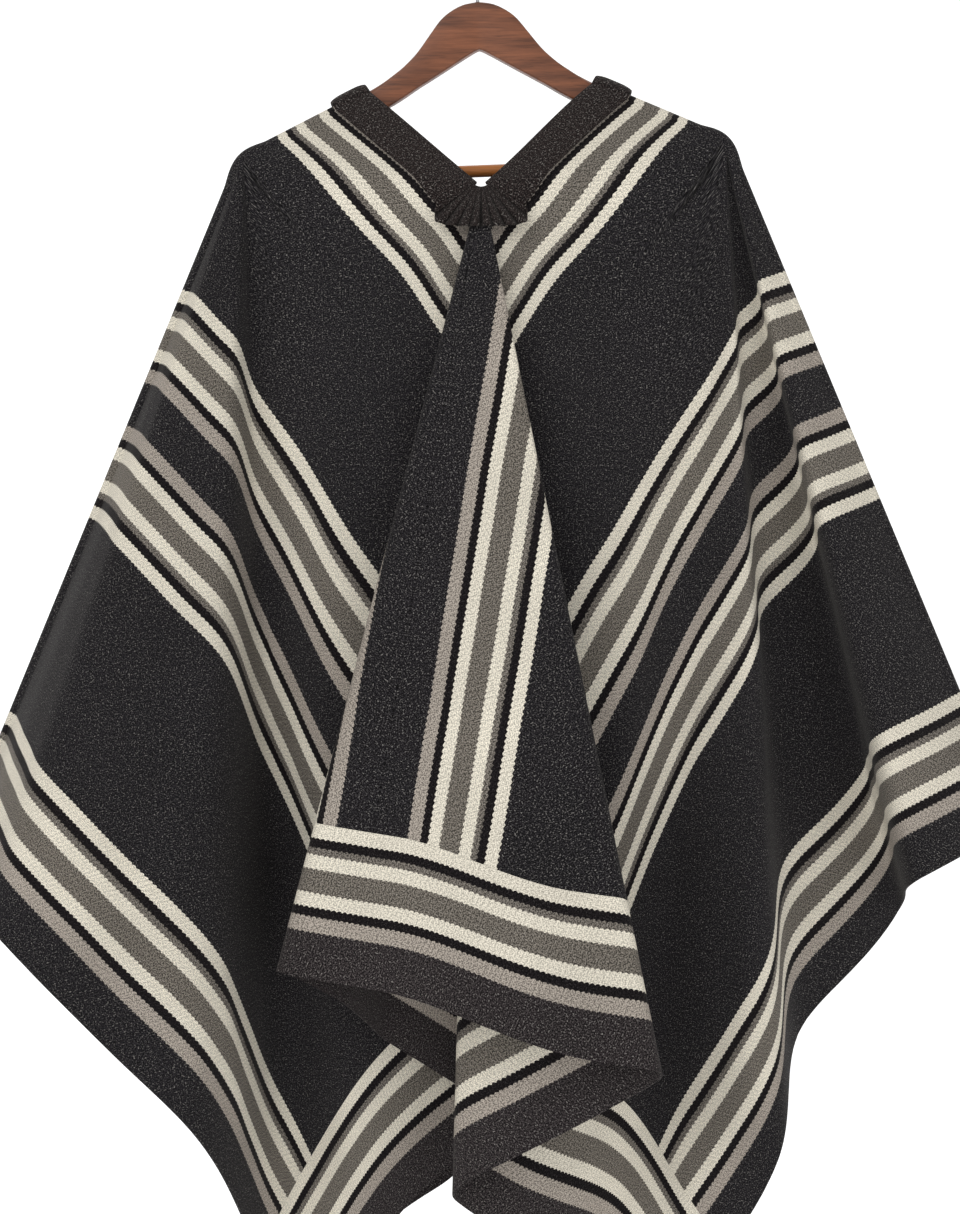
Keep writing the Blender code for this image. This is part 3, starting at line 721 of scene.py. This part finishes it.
def stripe_colors(tree, depth, cloth, field):
    """Colour at a depth into a set of stripes. At nought it is the plain field."""
    node = tree.nodes.new("ShaderNodeValToRGB")
    ramp = node.color_ramp
    ramp.interpolation = "CONSTANT"
    whole = STRIPE_SPAN * 1.05
    feed(tree, node.inputs["Fac"], maths(tree, "DIVIDE", depth, whole))
    for stop, position in zip(ramp.elements, (0.0, STRIPE_SPAN / whole)):
        stop.position = position
        stop.color = opaque(field)
    reached = 0.0
    for width, yarn in STRIPE_SET:
        stop = ramp.elements.new(max(reached / whole, 0.002))
        stop.color = opaque(getattr(cloth, yarn))
        reached += width
    return node.outputs["Color"]


def ridged(tree, distance, pitch):
    """One on the crown of each ridge and nought between two."""
    return absolute(tree, maths(tree, "SINE", times(tree, distance, math.pi / pitch)))


def grooved(tree, distance, pitch):
    """Nought on the crown of each ridge and one in the narrow groove between two."""
    return maths(tree, "POWER", minus(tree, 1.0, ridged(tree, distance, pitch)), 1.5)


def yarn_finish(tree, shader, cloth, color, cut, rib_turn, yarns):
    """Twill ribs, yarn by yarn grooves with painted shade in them, flecks of spun wool and a soft nap over a
    colour.
    """
    rib = mapped(tree, cut, turn=(0.0, 0.0, rib_turn))
    grooves = grooved(tree, split(tree, rib)["Y"], cloth.rib)
    between = grooved(tree, yarns, cloth.yarn)
    flecks = noise(tree, mapped(tree, rib, scale=(1.0, 1.2, 1.0)), 1.0 / cloth.fleck, 1.5, 0.5)
    grains = noise(tree, mapped(tree, cut, scale=(1.3, 1.0, 1.0)), 0.43 / cloth.fleck, 1.5, 0.6)
    patches = noise(tree, cut, 9.0, 3.0, 0.55)
    light = noded(tree, "ShaderNodeRGBToBW", {0: color})
    # painted shade: the colour darkens in the twill's grooves and in the grooves between the yarns
    wear_and_groove_shade = times(tree, grooves, ranged(tree, light, *GROOVE_SHADE))
    wear_and_groove_shade = plus(tree, wear_and_groove_shade, times(tree, between, BETWEEN_SHADE))
    gain = minus(tree, ranged(tree, light, *YARN_GAIN), wear_and_groove_shade)
    gain = times(tree, gain, ranged(tree, patches, *PATCH_GAIN))
    mottle = times(tree, ranged(tree, flecks, 0.41, 0.56), ranged(tree, light, *MOTTLE_GAIN))
    gain = times(tree, gain, plus(tree, ranged(tree, light, *MOTTLE_GROUND), mottle))
    pale = times(tree, ranged(tree, flecks, 0.55, 0.68), ranged(tree, grains, 0.44, 0.64, 0.10, 1.0))
    pale = times(tree, pale, ranged(tree, light, *PALE_ON_LIGHT))
    pale = times(tree, pale, ranged(tree, light, *PALE_ON_BLACK))
    flecked = blended(tree, pale, scaled(tree, color, gain), opaque(linear(*PALE_FLECK)))
    feed(tree, shader.inputs["Base Color"], flecked)
    sunk = plus(tree, times(tree, grooves, 0.45), times(tree, between, 0.25))
    bumped(tree, shader, minus(tree, times(tree, flecks, 1.1), sunk), 0.6, 0.0007)
    shader.inputs["Roughness"].default_value = 0.94
    shader.inputs["Specular IOR Level"].default_value = 0.12
    shader.inputs["Sheen Weight"].default_value = 0.08
    shader.inputs["Sheen Roughness"].default_value = 0.55
    shader.inputs["Sheen Tint"].default_value = opaque(linear(200, 196, 190))


def twill(tree, across, along, turn):
    """Distance square to the ribs that run across the warp at a turn."""
    return plus(tree, times(tree, across, math.sin(turn)), times(tree, along, math.cos(turn)))


def sawn(tree, value, along, noise_at, tooth):
    """A distance whose lines swell a little with each rib, and wander as hand-woven ones do."""
    teeth = times(tree, minus(tree, ridged(tree, along, tooth), 0.64), SAW_TOOTH)
    wander = times(tree, minus(tree, noise(tree, noise_at, 7.0, 2.0), 0.5), STRIPE_WANDER)
    return plus(tree, value, plus(tree, teeth, wander))


def cut_places(tree):
    """A flat place, and its s and t."""
    place = noded(tree, "ShaderNodeUVMap", {}, uv_map="cut")
    parts = split(tree, place)
    return place, parts["X"], parts["Y"]


def panel_wool(cloth):
    """Charcoal twill with bands of warp stripes that run the length of the panel."""
    material, tree, shader = new_material("woven_panel_wool")
    cut, s, t = cut_places(tree)
    out = absolute(tree, s)
    s = sawn(tree, out, twill(tree, out, t, RIB_TURN), cut, cloth.rib)
    depth = 0.0
    for start, way, share in STRIPE_STARTS:
        into = times(tree, minus(tree, s, start), way / share)
        begun = maths(tree, "GREATER_THAN", into, 0.0)
        inside = times(tree, begun, maths(tree, "LESS_THAN", into, STRIPE_SPAN))
        depth = plus(tree, depth, times(tree, inside, into))
    yarn_finish(tree, shader, cloth, stripe_colors(tree, depth, cloth, cloth.charcoal), cut, RIB_TURN, out)
    return material


def border_wool(cloth):
    """The same stripes once, crosswise, and then the plain edge."""
    material, tree, shader = new_material("woven_border_wool")
    cut, s, t = cut_places(tree)
    down = absolute(tree, t)
    into = minus(tree, down, BORDER_START)
    into = sawn(tree, into, twill(tree, s, t, BORDER_RIB_TURN), cut, cloth.rib)
    depth = maths(tree, "MAXIMUM", into, 0.001)
    colors = stripe_colors(tree, depth, cloth, cloth.border)
    yarn_finish(tree, shader, cloth, colors, cut, BORDER_RIB_TURN, down)
    return material


def band_wool(cloth):
    """Plain dark brown twill of the neck bands and bows."""
    material, tree, shader = new_material("woven_band_wool")
    cut, s, _ = cut_places(tree)
    wear_and_groove_shade = [c * 1.15 for c in cloth.brown]
    base = blended(tree, noise(tree, cut, 60.0), opaque(cloth.brown), opaque(wear_and_groove_shade))
    yarn_finish(tree, shader, cloth, base, cut, RIB_TURN, s)
    return material


def bow_wool(cloth):
    """The bands' twill, with painted shade darker down in the hollows between a bow's pleats and in its
    middle cleft.
    """
    material, tree, shader = new_material("woven_bow_wool")
    cut, s, _ = cut_places(tree)
    # painted shade in the hollows between the pleats and in the middle cleft, and a little painted light on
    # the pleats' crowns
    wave = maths(tree, "COSINE", times(tree, s, GUSSET_PLEATS * math.pi / BOW_SPAN))
    crown = maths(tree, "POWER", maths(tree, "MULTIPLY_ADD", wave, -0.5), 0.5)
    cleft_shade = ranged(tree, absolute(tree, s), 0.0008, 0.0052, 0.08, 1.0)
    shade = times(tree, ranged(tree, crown, 0.10, 0.85, 0.20, 1.10), cleft_shade)
    yarn_finish(tree, shader, cloth, scaled(tree, cloth.brown, shade), cut, RIB_TURN, s)
    return material


def hanger_wood(hanger, bar=False):
    """Varnished wood with long grain across the hanger."""
    material, tree, shader = new_material("oiled_rod_wood" if bar else "varnished_hanger_wood")
    coords = noded(tree, "ShaderNodeTexCoord", {}, "Object")
    light = hanger.bar if bar else hanger.wood
    dark = [c * 0.5 for c in hanger.bar] if bar else hanger.wood_dark
    broad = noise(tree, mapped(tree, coords, scale=(2.4, 26.0, 26.0)), 5.0, 4.0, 0.6)
    fine = noise(tree, mapped(tree, coords, scale=(9.0, 190.0, 190.0)), 4.0, 3.0, 0.6)
    pores = noise(tree, mapped(tree, coords, scale=(60.0, 900.0, 900.0)), 1.0, 2.0)
    grain = plus(tree, times(tree, broad, 0.65), times(tree, fine, 0.35))
    color = blended(tree, ranged(tree, grain, 0.36, 0.66), opaque(dark), opaque(light))
    pitted = opaque([c * 0.4 for c in dark])
    color = blended(tree, ranged(tree, pores, 0.62, 0.75, 0.0, 0.45), color, pitted)
    feed(tree, shader.inputs["Base Color"], color)
    feed(tree, shader.inputs["Roughness"], ranged(tree, fine, 0.3, 0.7, 0.34, 0.50))
    bumped(tree, shader, grain, 0.25, 0.0002)
    shader.inputs["Specular IOR Level"].default_value = 0.35
    shader.inputs["Coat Weight"].default_value = 0.18
    shader.inputs["Coat Roughness"].default_value = 0.22
    return material


def hook_steel(hanger):
    """Bright drawn wire."""
    material, tree, shader = new_material("drawn_hook_steel")
    coords = noded(tree, "ShaderNodeTexCoord", {}, "Object")
    wear_and_groove_shade = noise(tree, coords, 380.0, 3.0)
    color = blended(tree, ranged(tree, wear_and_groove_shade, 0.4, 0.7), opaque(hanger.steel),
                    opaque([c * 0.78 for c in hanger.steel]))
    feed(tree, shader.inputs["Base Color"], color)
    feed(tree, shader.inputs["Roughness"], ranged(tree, wear_and_groove_shade, 0.3, 0.7, 0.16, 0.30))
    shader.inputs["Metallic"].default_value = 1.0
    return material


def material_named(name, make, *settings):
    return bpy.data.materials.get(name) or make(*settings)


# ---------------- the cloth's lines

def panel_rays(side, half):
    """Flat start and end of each line of the mesh, from the side fold round to the centre seam."""
    low = BORDER_START
    rays = []
    for step in range(SIDE_LINES):
        share = step / SIDE_LINES
        start = (REACH_FLAT + SIDE_STARTS[0] + SIDE_STARTS[1] * share, WRAP)
        rays.append((start, (PANEL_HALF, WRAP + (low - WRAP) * share)))
    for step in range(LOW_LINES):
        share = step / LOW_LINES
        start = (REACH_FLAT + LOW_STARTS[0] + LOW_STARTS[1] * share, WRAP)
        rays.append((start, (PANEL_HALF + (LOW_CORNER - PANEL_HALF) * share, low)))
    reach = math.tan(FAN_LAST) * (low - SLIT_HALF)
    for step, start in enumerate(INNER_STARTS):
        share = step / len(INNER_STARTS)
        rays.append((start, (LOW_CORNER + (reach - LOW_CORNER) * share, low)))
    last = math.degrees(FAN_LAST)
    folds = [side * row[0] for row in NECK_FOLDS[half] if 0.0 < side * row[0] < last]
    angles = sorted({0.0, last, *folds})
    filled = [0.0]
    for angle in angles[1:]:
        start = filled[-1]
        gap = angle - start
        parts = max(1, round(gap / FAN_STEP)) if gap > FAN_NARROW else 2
        filled.extend(start + gap * (part + 1) / parts for part in range(parts))
    for angle in reversed(filled):
        angle = math.radians(angle)
        start = (max(NECK_RING * math.sin(angle), SEAM_EDGE), SLIT_HALF + NECK_RING * math.cos(angle))
        rays.append((start, (max(math.tan(angle) * (low - SLIT_HALF), SEAM_EDGE), low)))
    return rays


def border_rays(side, half):
    """Flat start and end of each line across the border, from the side edge to the centre seam."""
    panel_low = BORDER_START - SLIT_HALF
    border_low = FRONT_LENGTH - SLIT_HALF
    inner = math.tan(FAN_LAST) * panel_low
    limit = math.tan(FAN_LAST) * border_low
    rays = []
    for _, (s, t) in panel_rays(side, half):
        if t < BORDER_START - 1e-9:
            continue
        grown = s * border_low / panel_low
        if s > inner:
            grown = limit + (PANEL_HALF - limit) * (s - inner) / (PANEL_HALF - inner)
        if s <= SEAM_GAP:
            s = 0.0
            grown = 0.0
        rays.append(((s, BORDER_START + BORDER_GAP), (min(grown, PANEL_HALF), FRONT_LENGTH)))
    return rays


def fine_rays(side, half):
    """Lines of the finer mesh, which start on the shoulder's fold itself."""
    rays = []
    for start, end in panel_rays(side, half):
        start = (start[0], 0.0) if abs(start[1] - WRAP) < 1e-9 else start
        rays.append((start, end))
    first = rays[0][0][0]
    side_fold = []
    for step in range(WRAP_LINES):
        start = (first + WRAP_STEP * (WRAP_LINES - step), 0.0)
        side_fold.append((start, (PANEL_HALF, WRAP * step / WRAP_LINES)))
    return side_fold + rays


def rows_at(table, at):
    """A table's rows at places between them."""
    index = np.arange(len(table))
    return np.stack([np.interp(at, index, column) for column in table.T], axis=-1)


def dense(rays):
    """Starts and ends of the lines with FINE_LINES steps from each to the next, as arrays."""
    at = np.linspace(0, len(rays) - 1, (len(rays) - 1) * FINE_LINES + 1)
    return rows_at(np.array([(*start, *end) for start, end in rays]), at)


def lay(lines, u, v):
    """Flat places on a grid: u across the lines and v along them."""
    start_s, start_t, end_s, end_t = rows_at(lines, u * (len(lines) - 1)).T
    share = v ** SPREAD
    return start_s + (end_s - start_s) * share, start_t + (end_t - start_t) * share


def woven(work, lines, rows, side, half, way):
    """Adds one side's half of the cloth, along its lines. Its flat places run out from the seam by way."""
    def place(u, v):
        s, t = lay(lines, u, v)
        return hung(s, t, side, half), np.stack((s * way, t * FACING[half]), axis=-1)

    mapped_grid(work, len(lines) - 1, rows, place)


# ---------------- operators

class PONCHO_OT_panels(bpy.types.Operator):
    """Weave the two long panels, each from hem to hem over the shoulder"""
    bl_idname = "poncho.panels"
    bl_label = "Panels"

    def execute(self, context):
        wool = material_named("woven_panel_wool", panel_wool, context.scene.poncho_cloth)
        for name, side in SIDES.items():
            work = bmesh.new()
            for half in FACING:
                woven(work, dense(fine_rays(side, half)), PANEL_ROWS, side, half, 1)
            panel = walled(finished("cloth_" + name, work, line=DOWN), CLOTH)
            placed(panel, wool, "panel_" + name)
        return {"FINISHED"}


class PONCHO_OT_borders(bpy.types.Operator):
    """Sew the striped borders along the front hem and the back hem"""
    bl_idname = "poncho.borders"
    bl_label = "Hem borders"

    def execute(self, context):
        wool = material_named("woven_border_wool", border_wool, context.scene.poncho_cloth)
        for half in FACING:
            work = bmesh.new()
            for side in SIDES.values():
                woven(work, dense(border_rays(side, half)), BORDER_ROWS, side, half, side)
            border = walled(finished("hem_border_" + half, work, line=ACROSS), CLOTH)
            placed(border, wool, "border_" + half)
        return {"FINISHED"}


class PONCHO_OT_neck_bands(bpy.types.Operator):
    """Bind both edges of the neck slit with a brown band"""
    bl_idname = "poncho.neck_bands"
    bl_label = "Neck bands"

    def execute(self, context):
        wool = material_named("woven_band_wool", band_wool, context.scene.poncho_cloth)
        lift = CLOTH / 2.0 + COLLAR_CLEAR + COLLAR_THICK / 2.0
        for name, side in SIDES.items():
            work = bmesh.new()
            for half, facing in FACING.items():

                def place(u, v):
                    s = SEAM_EDGE + (BAND_SHOWN - SEAM_EDGE) * u
                    t = (SLIT_HALF - COLLAR_SHORT - COLLAR_TAPER * s) * v ** BAND_SPREAD
                    puff = BAND_PUFF * (1.0 - (2.0 * u - 1.0) ** 4)
                    out = cloth_normal(s, t, side, half) * (lift + puff)[..., None]
                    return cloth_point(s, t, side, half) + out, np.stack((s, t * facing), axis=-1)

                mapped_grid(work, BAND_COLUMNS, BAND_ROWS, place)
            band = walled(finished("neck_band_" + name, work, line=DOWN), COLLAR_THICK, bevel=BAND_EDGE)
            placed(band, wool, "collar_" + name)
        return {"FINISHED"}


class PONCHO_OT_neck_bows(bpy.types.Operator):
    """Close the foot of the slit with a pleated bow, front and back"""
    bl_idname = "poncho.neck_bows"
    bl_label = "Neck bows"

    def execute(self, context):
        wool = material_named("woven_bow_wool", bow_wool, context.scene.poncho_cloth)
        for half, facing in FACING.items():
            work = bmesh.new()

            def place(u, v):
                share = u * 2.0 - 1.0
                angle = share * GUSSET_SPREAD
                side_reach = GUSSET_HALF / np.maximum(np.sin(np.abs(angle)), 0.1)
                length = GUSSET_DROP / np.cos(angle) * (1.0 - GUSSET_ROUND * np.tan(angle) ** 2)
                length = np.minimum(length, side_reach)
                reach = GUSSET_TOP + (length - GUSSET_TOP) * v
                part = (reach / length) ** 2
                crown = np.sqrt(0.5 - 0.5 * np.cos(share * GUSSET_PLEATS * math.pi))
                pleat = (crown * BOW_CROWN - GUSSET_PLEAT_DEPTH) * part
                middle = np.exp(-(share / BOW_CLEFT_SHARE) ** 2) * BOW_CLEFT * part
                pinched = np.sin(np.minimum(v / BOW_PINCH_SHARE, 1.0) * math.pi) * BOW_PINCH
                stand = GUSSET_STAND[half] + GUSSET_FLARE * v * np.cos(angle) ** 4
                points = np.stack((
                    NECK_POINT[0] + np.sin(angle) * reach,
                    -facing * (NECK_POINT[1] + stand + pleat - middle - pinched),
                    NECK_POINT[2] + GUSSET_ABOVE - np.cos(angle) * reach,
                ), axis=-1)
                return points, np.stack((share * BOW_SPAN, 0.2 + reach), axis=-1)

            mapped_grid(work, BOW_COLUMNS, BOW_ROWS, place)
            bow = walled(finished("neck_bow_" + half, work), GUSSET_THICK, bevel=BOW_EDGE)
            placed(bow, wool, "gusset_" + half)
        return {"FINISHED"}


class PONCHO_OT_hanger(bpy.types.Operator):
    """Shape the wooden hanger, its bar and its wire hook"""
    bl_idname = "poncho.hanger"
    bl_label = "Hanger"

    def execute(self, context):
        hanger = context.scene.poncho_hanger
        self.make_body(hanger)
        self.make_bar(hanger)
        self.make_hook(hanger)
        return {"FINISHED"}

    def make_body(self, hanger):
        rows = np.array(HANGER_ROWS)
        outs = np.concatenate((-rows[::-1, 0], rows[1:, 0]))
        steps = np.interp(np.linspace(0.0, 1.0, HANGER_COLUMNS + 1), np.linspace(0.0, 1.0, len(outs)), outs)

        def place(u, v):
            out = np.interp(u, np.linspace(0.0, 1.0, len(steps)), steps)
            far = np.abs(out)
            soft = np.where(far < NOTCH_FROM, OUTLINE_SOFT, NOTCH_SOFT)
            top, under, bow = (eased(HANGER_ROWS, column, far, soft) for column in (1, 2, 3))
            half = ARM_THICK / 2.0
            v = np.where(v > 1.0 - 0.5 / SECTION_ROWS, 0.0, v * SECTION_ROWS / (SECTION_ROWS - 1.0))
            curve = np.minimum(half, (top - under) / 2.0) * np.interp(far, ROUNDED_AT, ROUNDED_BY)
            corner = np.minimum((v * 4.0).astype(int), 3)
            turn = np.radians(corner * 90.0 + (v * 4.0 - corner) * 90.0)
            sign_y = np.array((1.0, -1.0, -1.0, 1.0))[corner]
            sign_z = np.array((1.0, 1.0, -1.0, -1.0))[corner]
            centre = np.where(sign_z > 0.0, top - curve, under + curve)
            y = sign_y * (half - curve) + curve * np.cos(turn) - bow
            z = CROWN_TOP + centre + curve * np.sin(turn)
            return tilted((out, y, z)).T, np.stack((out, v), axis=-1)

        work = bmesh.new()
        mapped_grid(work, HANGER_COLUMNS, SECTION_ROWS, place)
        self.close_ends(work)
        body = finished("hanger_arms", work, sharp=HANGER_SHARP)
        wood = material_named("varnished_hanger_wood", hanger_wood, hanger)
        placed(body, wood, "hanger_body")

    def make_bar(self, hanger):
        path = [tilted((x, -BAR_BOW, BAR_DROP)) for x in np.linspace(-BAR_HALF, BAR_HALF, BAR_STEPS)]
        bar = self.tube("hanger_rod", path, BAR_RADIUS, BAR_SIDES)
        placed(bar, material_named("oiled_rod_wood", hanger_wood, hanger, True), "hanger_bar")

    def make_hook(self, hanger):
        centre = -(HOOK_RADIUS - HOOK_WIRE)
        path = []
        for turn in np.radians(np.linspace(*HOOK_BEND, HOOK_STEPS)):
            path.append((HOOK_RADIUS * math.cos(turn), 0.0, centre + HOOK_RADIUS * math.sin(turn)))
        path.extend((across, 0.0, up) for across, up in HOOK_NECK)
        hook = self.tube("hanger_wire_hook", [tilted(point) for point in path], HOOK_WIRE, HOOK_SIDES)
        placed(hook, material_named("drawn_hook_steel", hook_steel, hanger), "hanger_hook")

    def tube(self, name, path, radius, sides):
        """A round closed tube along a path that lies in the hanger's plane."""
        path = np.array(path)
        ahead = np.gradient(path, axis=0)
        ahead = ahead / np.linalg.norm(ahead, axis=-1)[:, None]

        def place(u, v):
            middle = rows_at(path, u * (len(path) - 1))
            run = rows_at(ahead, u * (len(path) - 1))
            turn = v * 2.0 * math.pi
            outward_way = np.stack((-run[:, 2], np.zeros(len(run)), run[:, 0]), axis=-1)
            points = middle + outward_way * (radius * np.cos(turn))[:, None]
            points[:, 1] += radius * np.sin(turn)
            return points, np.stack((u, v), axis=-1)

        work = bmesh.new()
        mapped_grid(work, len(path) - 1, sides, place)
        self.close_ends(work)
        return finished(name, work, sharp=HANGER_SHARP)

    def close_ends(self, work):
        """Closes a tube's open ends, and rounds their rims."""
        bmesh.ops.remove_doubles(work, verts=work.verts[:], dist=WELD)
        edges = [edge for edge in work.edges if edge.is_boundary]
        filled = bmesh.ops.holes_fill(work, edges=edges, sides=0)
        rims = list({edge for face in filled["faces"] for edge in face.edges})
        bmesh.ops.bevel(work, geom=rims, offset=RIM_ROUND, segments=3, profile=0.5, affect="EDGES",
                        material=-1)


class PONCHO_OT_stage(bpy.types.Operator):
    """Set the pale floor and backdrop, the soft lights and the camera"""
    bl_idname = "poncho.stage"
    bl_label = "Studio"

    def execute(self, context):
        stage = context.scene.poncho_stage
        self.make_sweep(stage)
        self.make_lights(stage)
        self.make_camera(stage)
        return {"FINISHED"}

    def make_sweep(self, stage):
        work = bmesh.new()
        start = [work.verts.new((-SWEEP_HALF, y, stage.floor)) for y in (SWEEP_NEAR, SWEEP_FAR)]
        work.edges.new(start)
        centre = (0.0, SWEEP_FAR, stage.floor + SWEEP_TURN)
        spun = bmesh.ops.spin(work, geom=[start[1]], cent=centre, axis=(1.0, 0.0, 0.0),
                              angle=math.radians(90.0), steps=20)
        last = [item for item in spun["geom_last"] if isinstance(item, bmesh.types.BMVert)][0]
        top = work.verts.new((last.co.x, last.co.y, stage.floor + SWEEP_TOP))
        work.edges.new((last, top))
        swept = bmesh.ops.extrude_edge_only(work, edges=work.edges[:])
        moved = [item for item in swept["geom"] if isinstance(item, bmesh.types.BMVert)]
        bmesh.ops.translate(work, verts=moved, vec=(2.0 * SWEEP_HALF, 0.0, 0.0))
        bmesh.ops.recalc_face_normals(work, faces=work.faces[:])
        mesh = bpy.data.meshes.new("studio_sweep")
        work.to_mesh(mesh)
        work.free()
        mesh.shade_smooth()
        material, _, shader = new_material("studio_white")
        shader.inputs["Base Color"].default_value = (0.97, 0.97, 0.97, 1.0)
        shader.inputs["Roughness"].default_value = 0.9
        shader.inputs["Emission Color"].default_value = (1.0, 1.0, 1.0, 1.0)
        shader.inputs["Emission Strength"].default_value = SWEEP_GLOW
        mesh.materials.append(material)
        linked("studio_sweep", mesh)

    def make_lights(self, stage):
        target = Vector(LAMPS_AIM)
        lights = (
            # name, power, size, place
            ("key_light", stage.key, 2.2, (-1.5, -2.4, 0.9)),
            ("fill_light", stage.fill, 2.2, (2.0, -2.0, 0.1)),
            ("back_light", stage.fill * 1.2, 2.0, (0.0, 0.9, 2.0)),
        )
        for name, power, size, place in lights:
            lamp = bpy.data.lights.new(name, "AREA")
            lamp.energy = power
            lamp.size = size
            item = linked(name, lamp)
            item.location = place
            item.rotation_euler = (target - item.location).to_track_quat("-Z", "Y").to_euler()
        world = bpy.data.worlds.new("studio_air")
        world.use_nodes = True
        world.node_tree.nodes["Background"].inputs["Color"].default_value = (1.0, 1.0, 1.0, 1.0)
        world.node_tree.nodes["Background"].inputs["Strength"].default_value = AIR_LIGHT
        bpy.context.scene.world = world
        bpy.context.scene.view_settings.view_transform = "Standard"

    def make_camera(self, stage):
        data = bpy.data.cameras.new("front_camera")
        data.lens = stage.lens
        data.sensor_width = 36.0
        data.sensor_fit = "AUTO"
        camera = linked("front_camera", data)
        camera.location = (stage.across, -stage.distance, stage.height)
        camera.rotation_euler = (math.radians(90.0), 0.0, 0.0)
        bpy.context.scene.camera = camera


class PONCHO_PT_sidebar(bpy.types.Panel):
    """Lists the poncho's pieces and settings"""
    bl_idname = "PONCHO_PT_sidebar"
    bl_label = "Andean poncho"
    bl_space_type = "VIEW_3D"
    bl_region_type = "UI"
    bl_category = "Poncho"

    def draw(self, context):
        layout = self.layout
        for operator in OPERATORS:
            layout.operator(operator.bl_idname)
        for settings in (context.scene.poncho_cloth, context.scene.poncho_hanger, context.scene.poncho_stage):
            box = layout.box()
            for name in settings.__annotations__:
                box.prop(settings, name)


SETTINGS = (PonchoClothSettings, PonchoHangerSettings, PonchoStageSettings)
OPERATORS = (PONCHO_OT_panels, PONCHO_OT_borders, PONCHO_OT_neck_bands, PONCHO_OT_neck_bows, PONCHO_OT_hanger,
             PONCHO_OT_stage)


def register():
    for item in (*SETTINGS, *OPERATORS, PONCHO_PT_sidebar):
        bpy.utils.register_class(item)
    bpy.types.Scene.poncho_cloth = PointerProperty(type=PonchoClothSettings)
    bpy.types.Scene.poncho_hanger = PointerProperty(type=PonchoHangerSettings)
    bpy.types.Scene.poncho_stage = PointerProperty(type=PonchoStageSettings)


def unregister():
    del bpy.types.Scene.poncho_cloth
    del bpy.types.Scene.poncho_hanger
    del bpy.types.Scene.poncho_stage
    for item in reversed((*SETTINGS, *OPERATORS, PONCHO_PT_sidebar)):
        bpy.utils.unregister_class(item)


def main():
    register()
    bpy.ops.poncho.panels()
    bpy.ops.poncho.borders()
    bpy.ops.poncho.neck_bands()
    bpy.ops.poncho.neck_bows()
    bpy.ops.poncho.hanger()
    bpy.ops.poncho.stage()


if __name__ == "__main__":
    main()
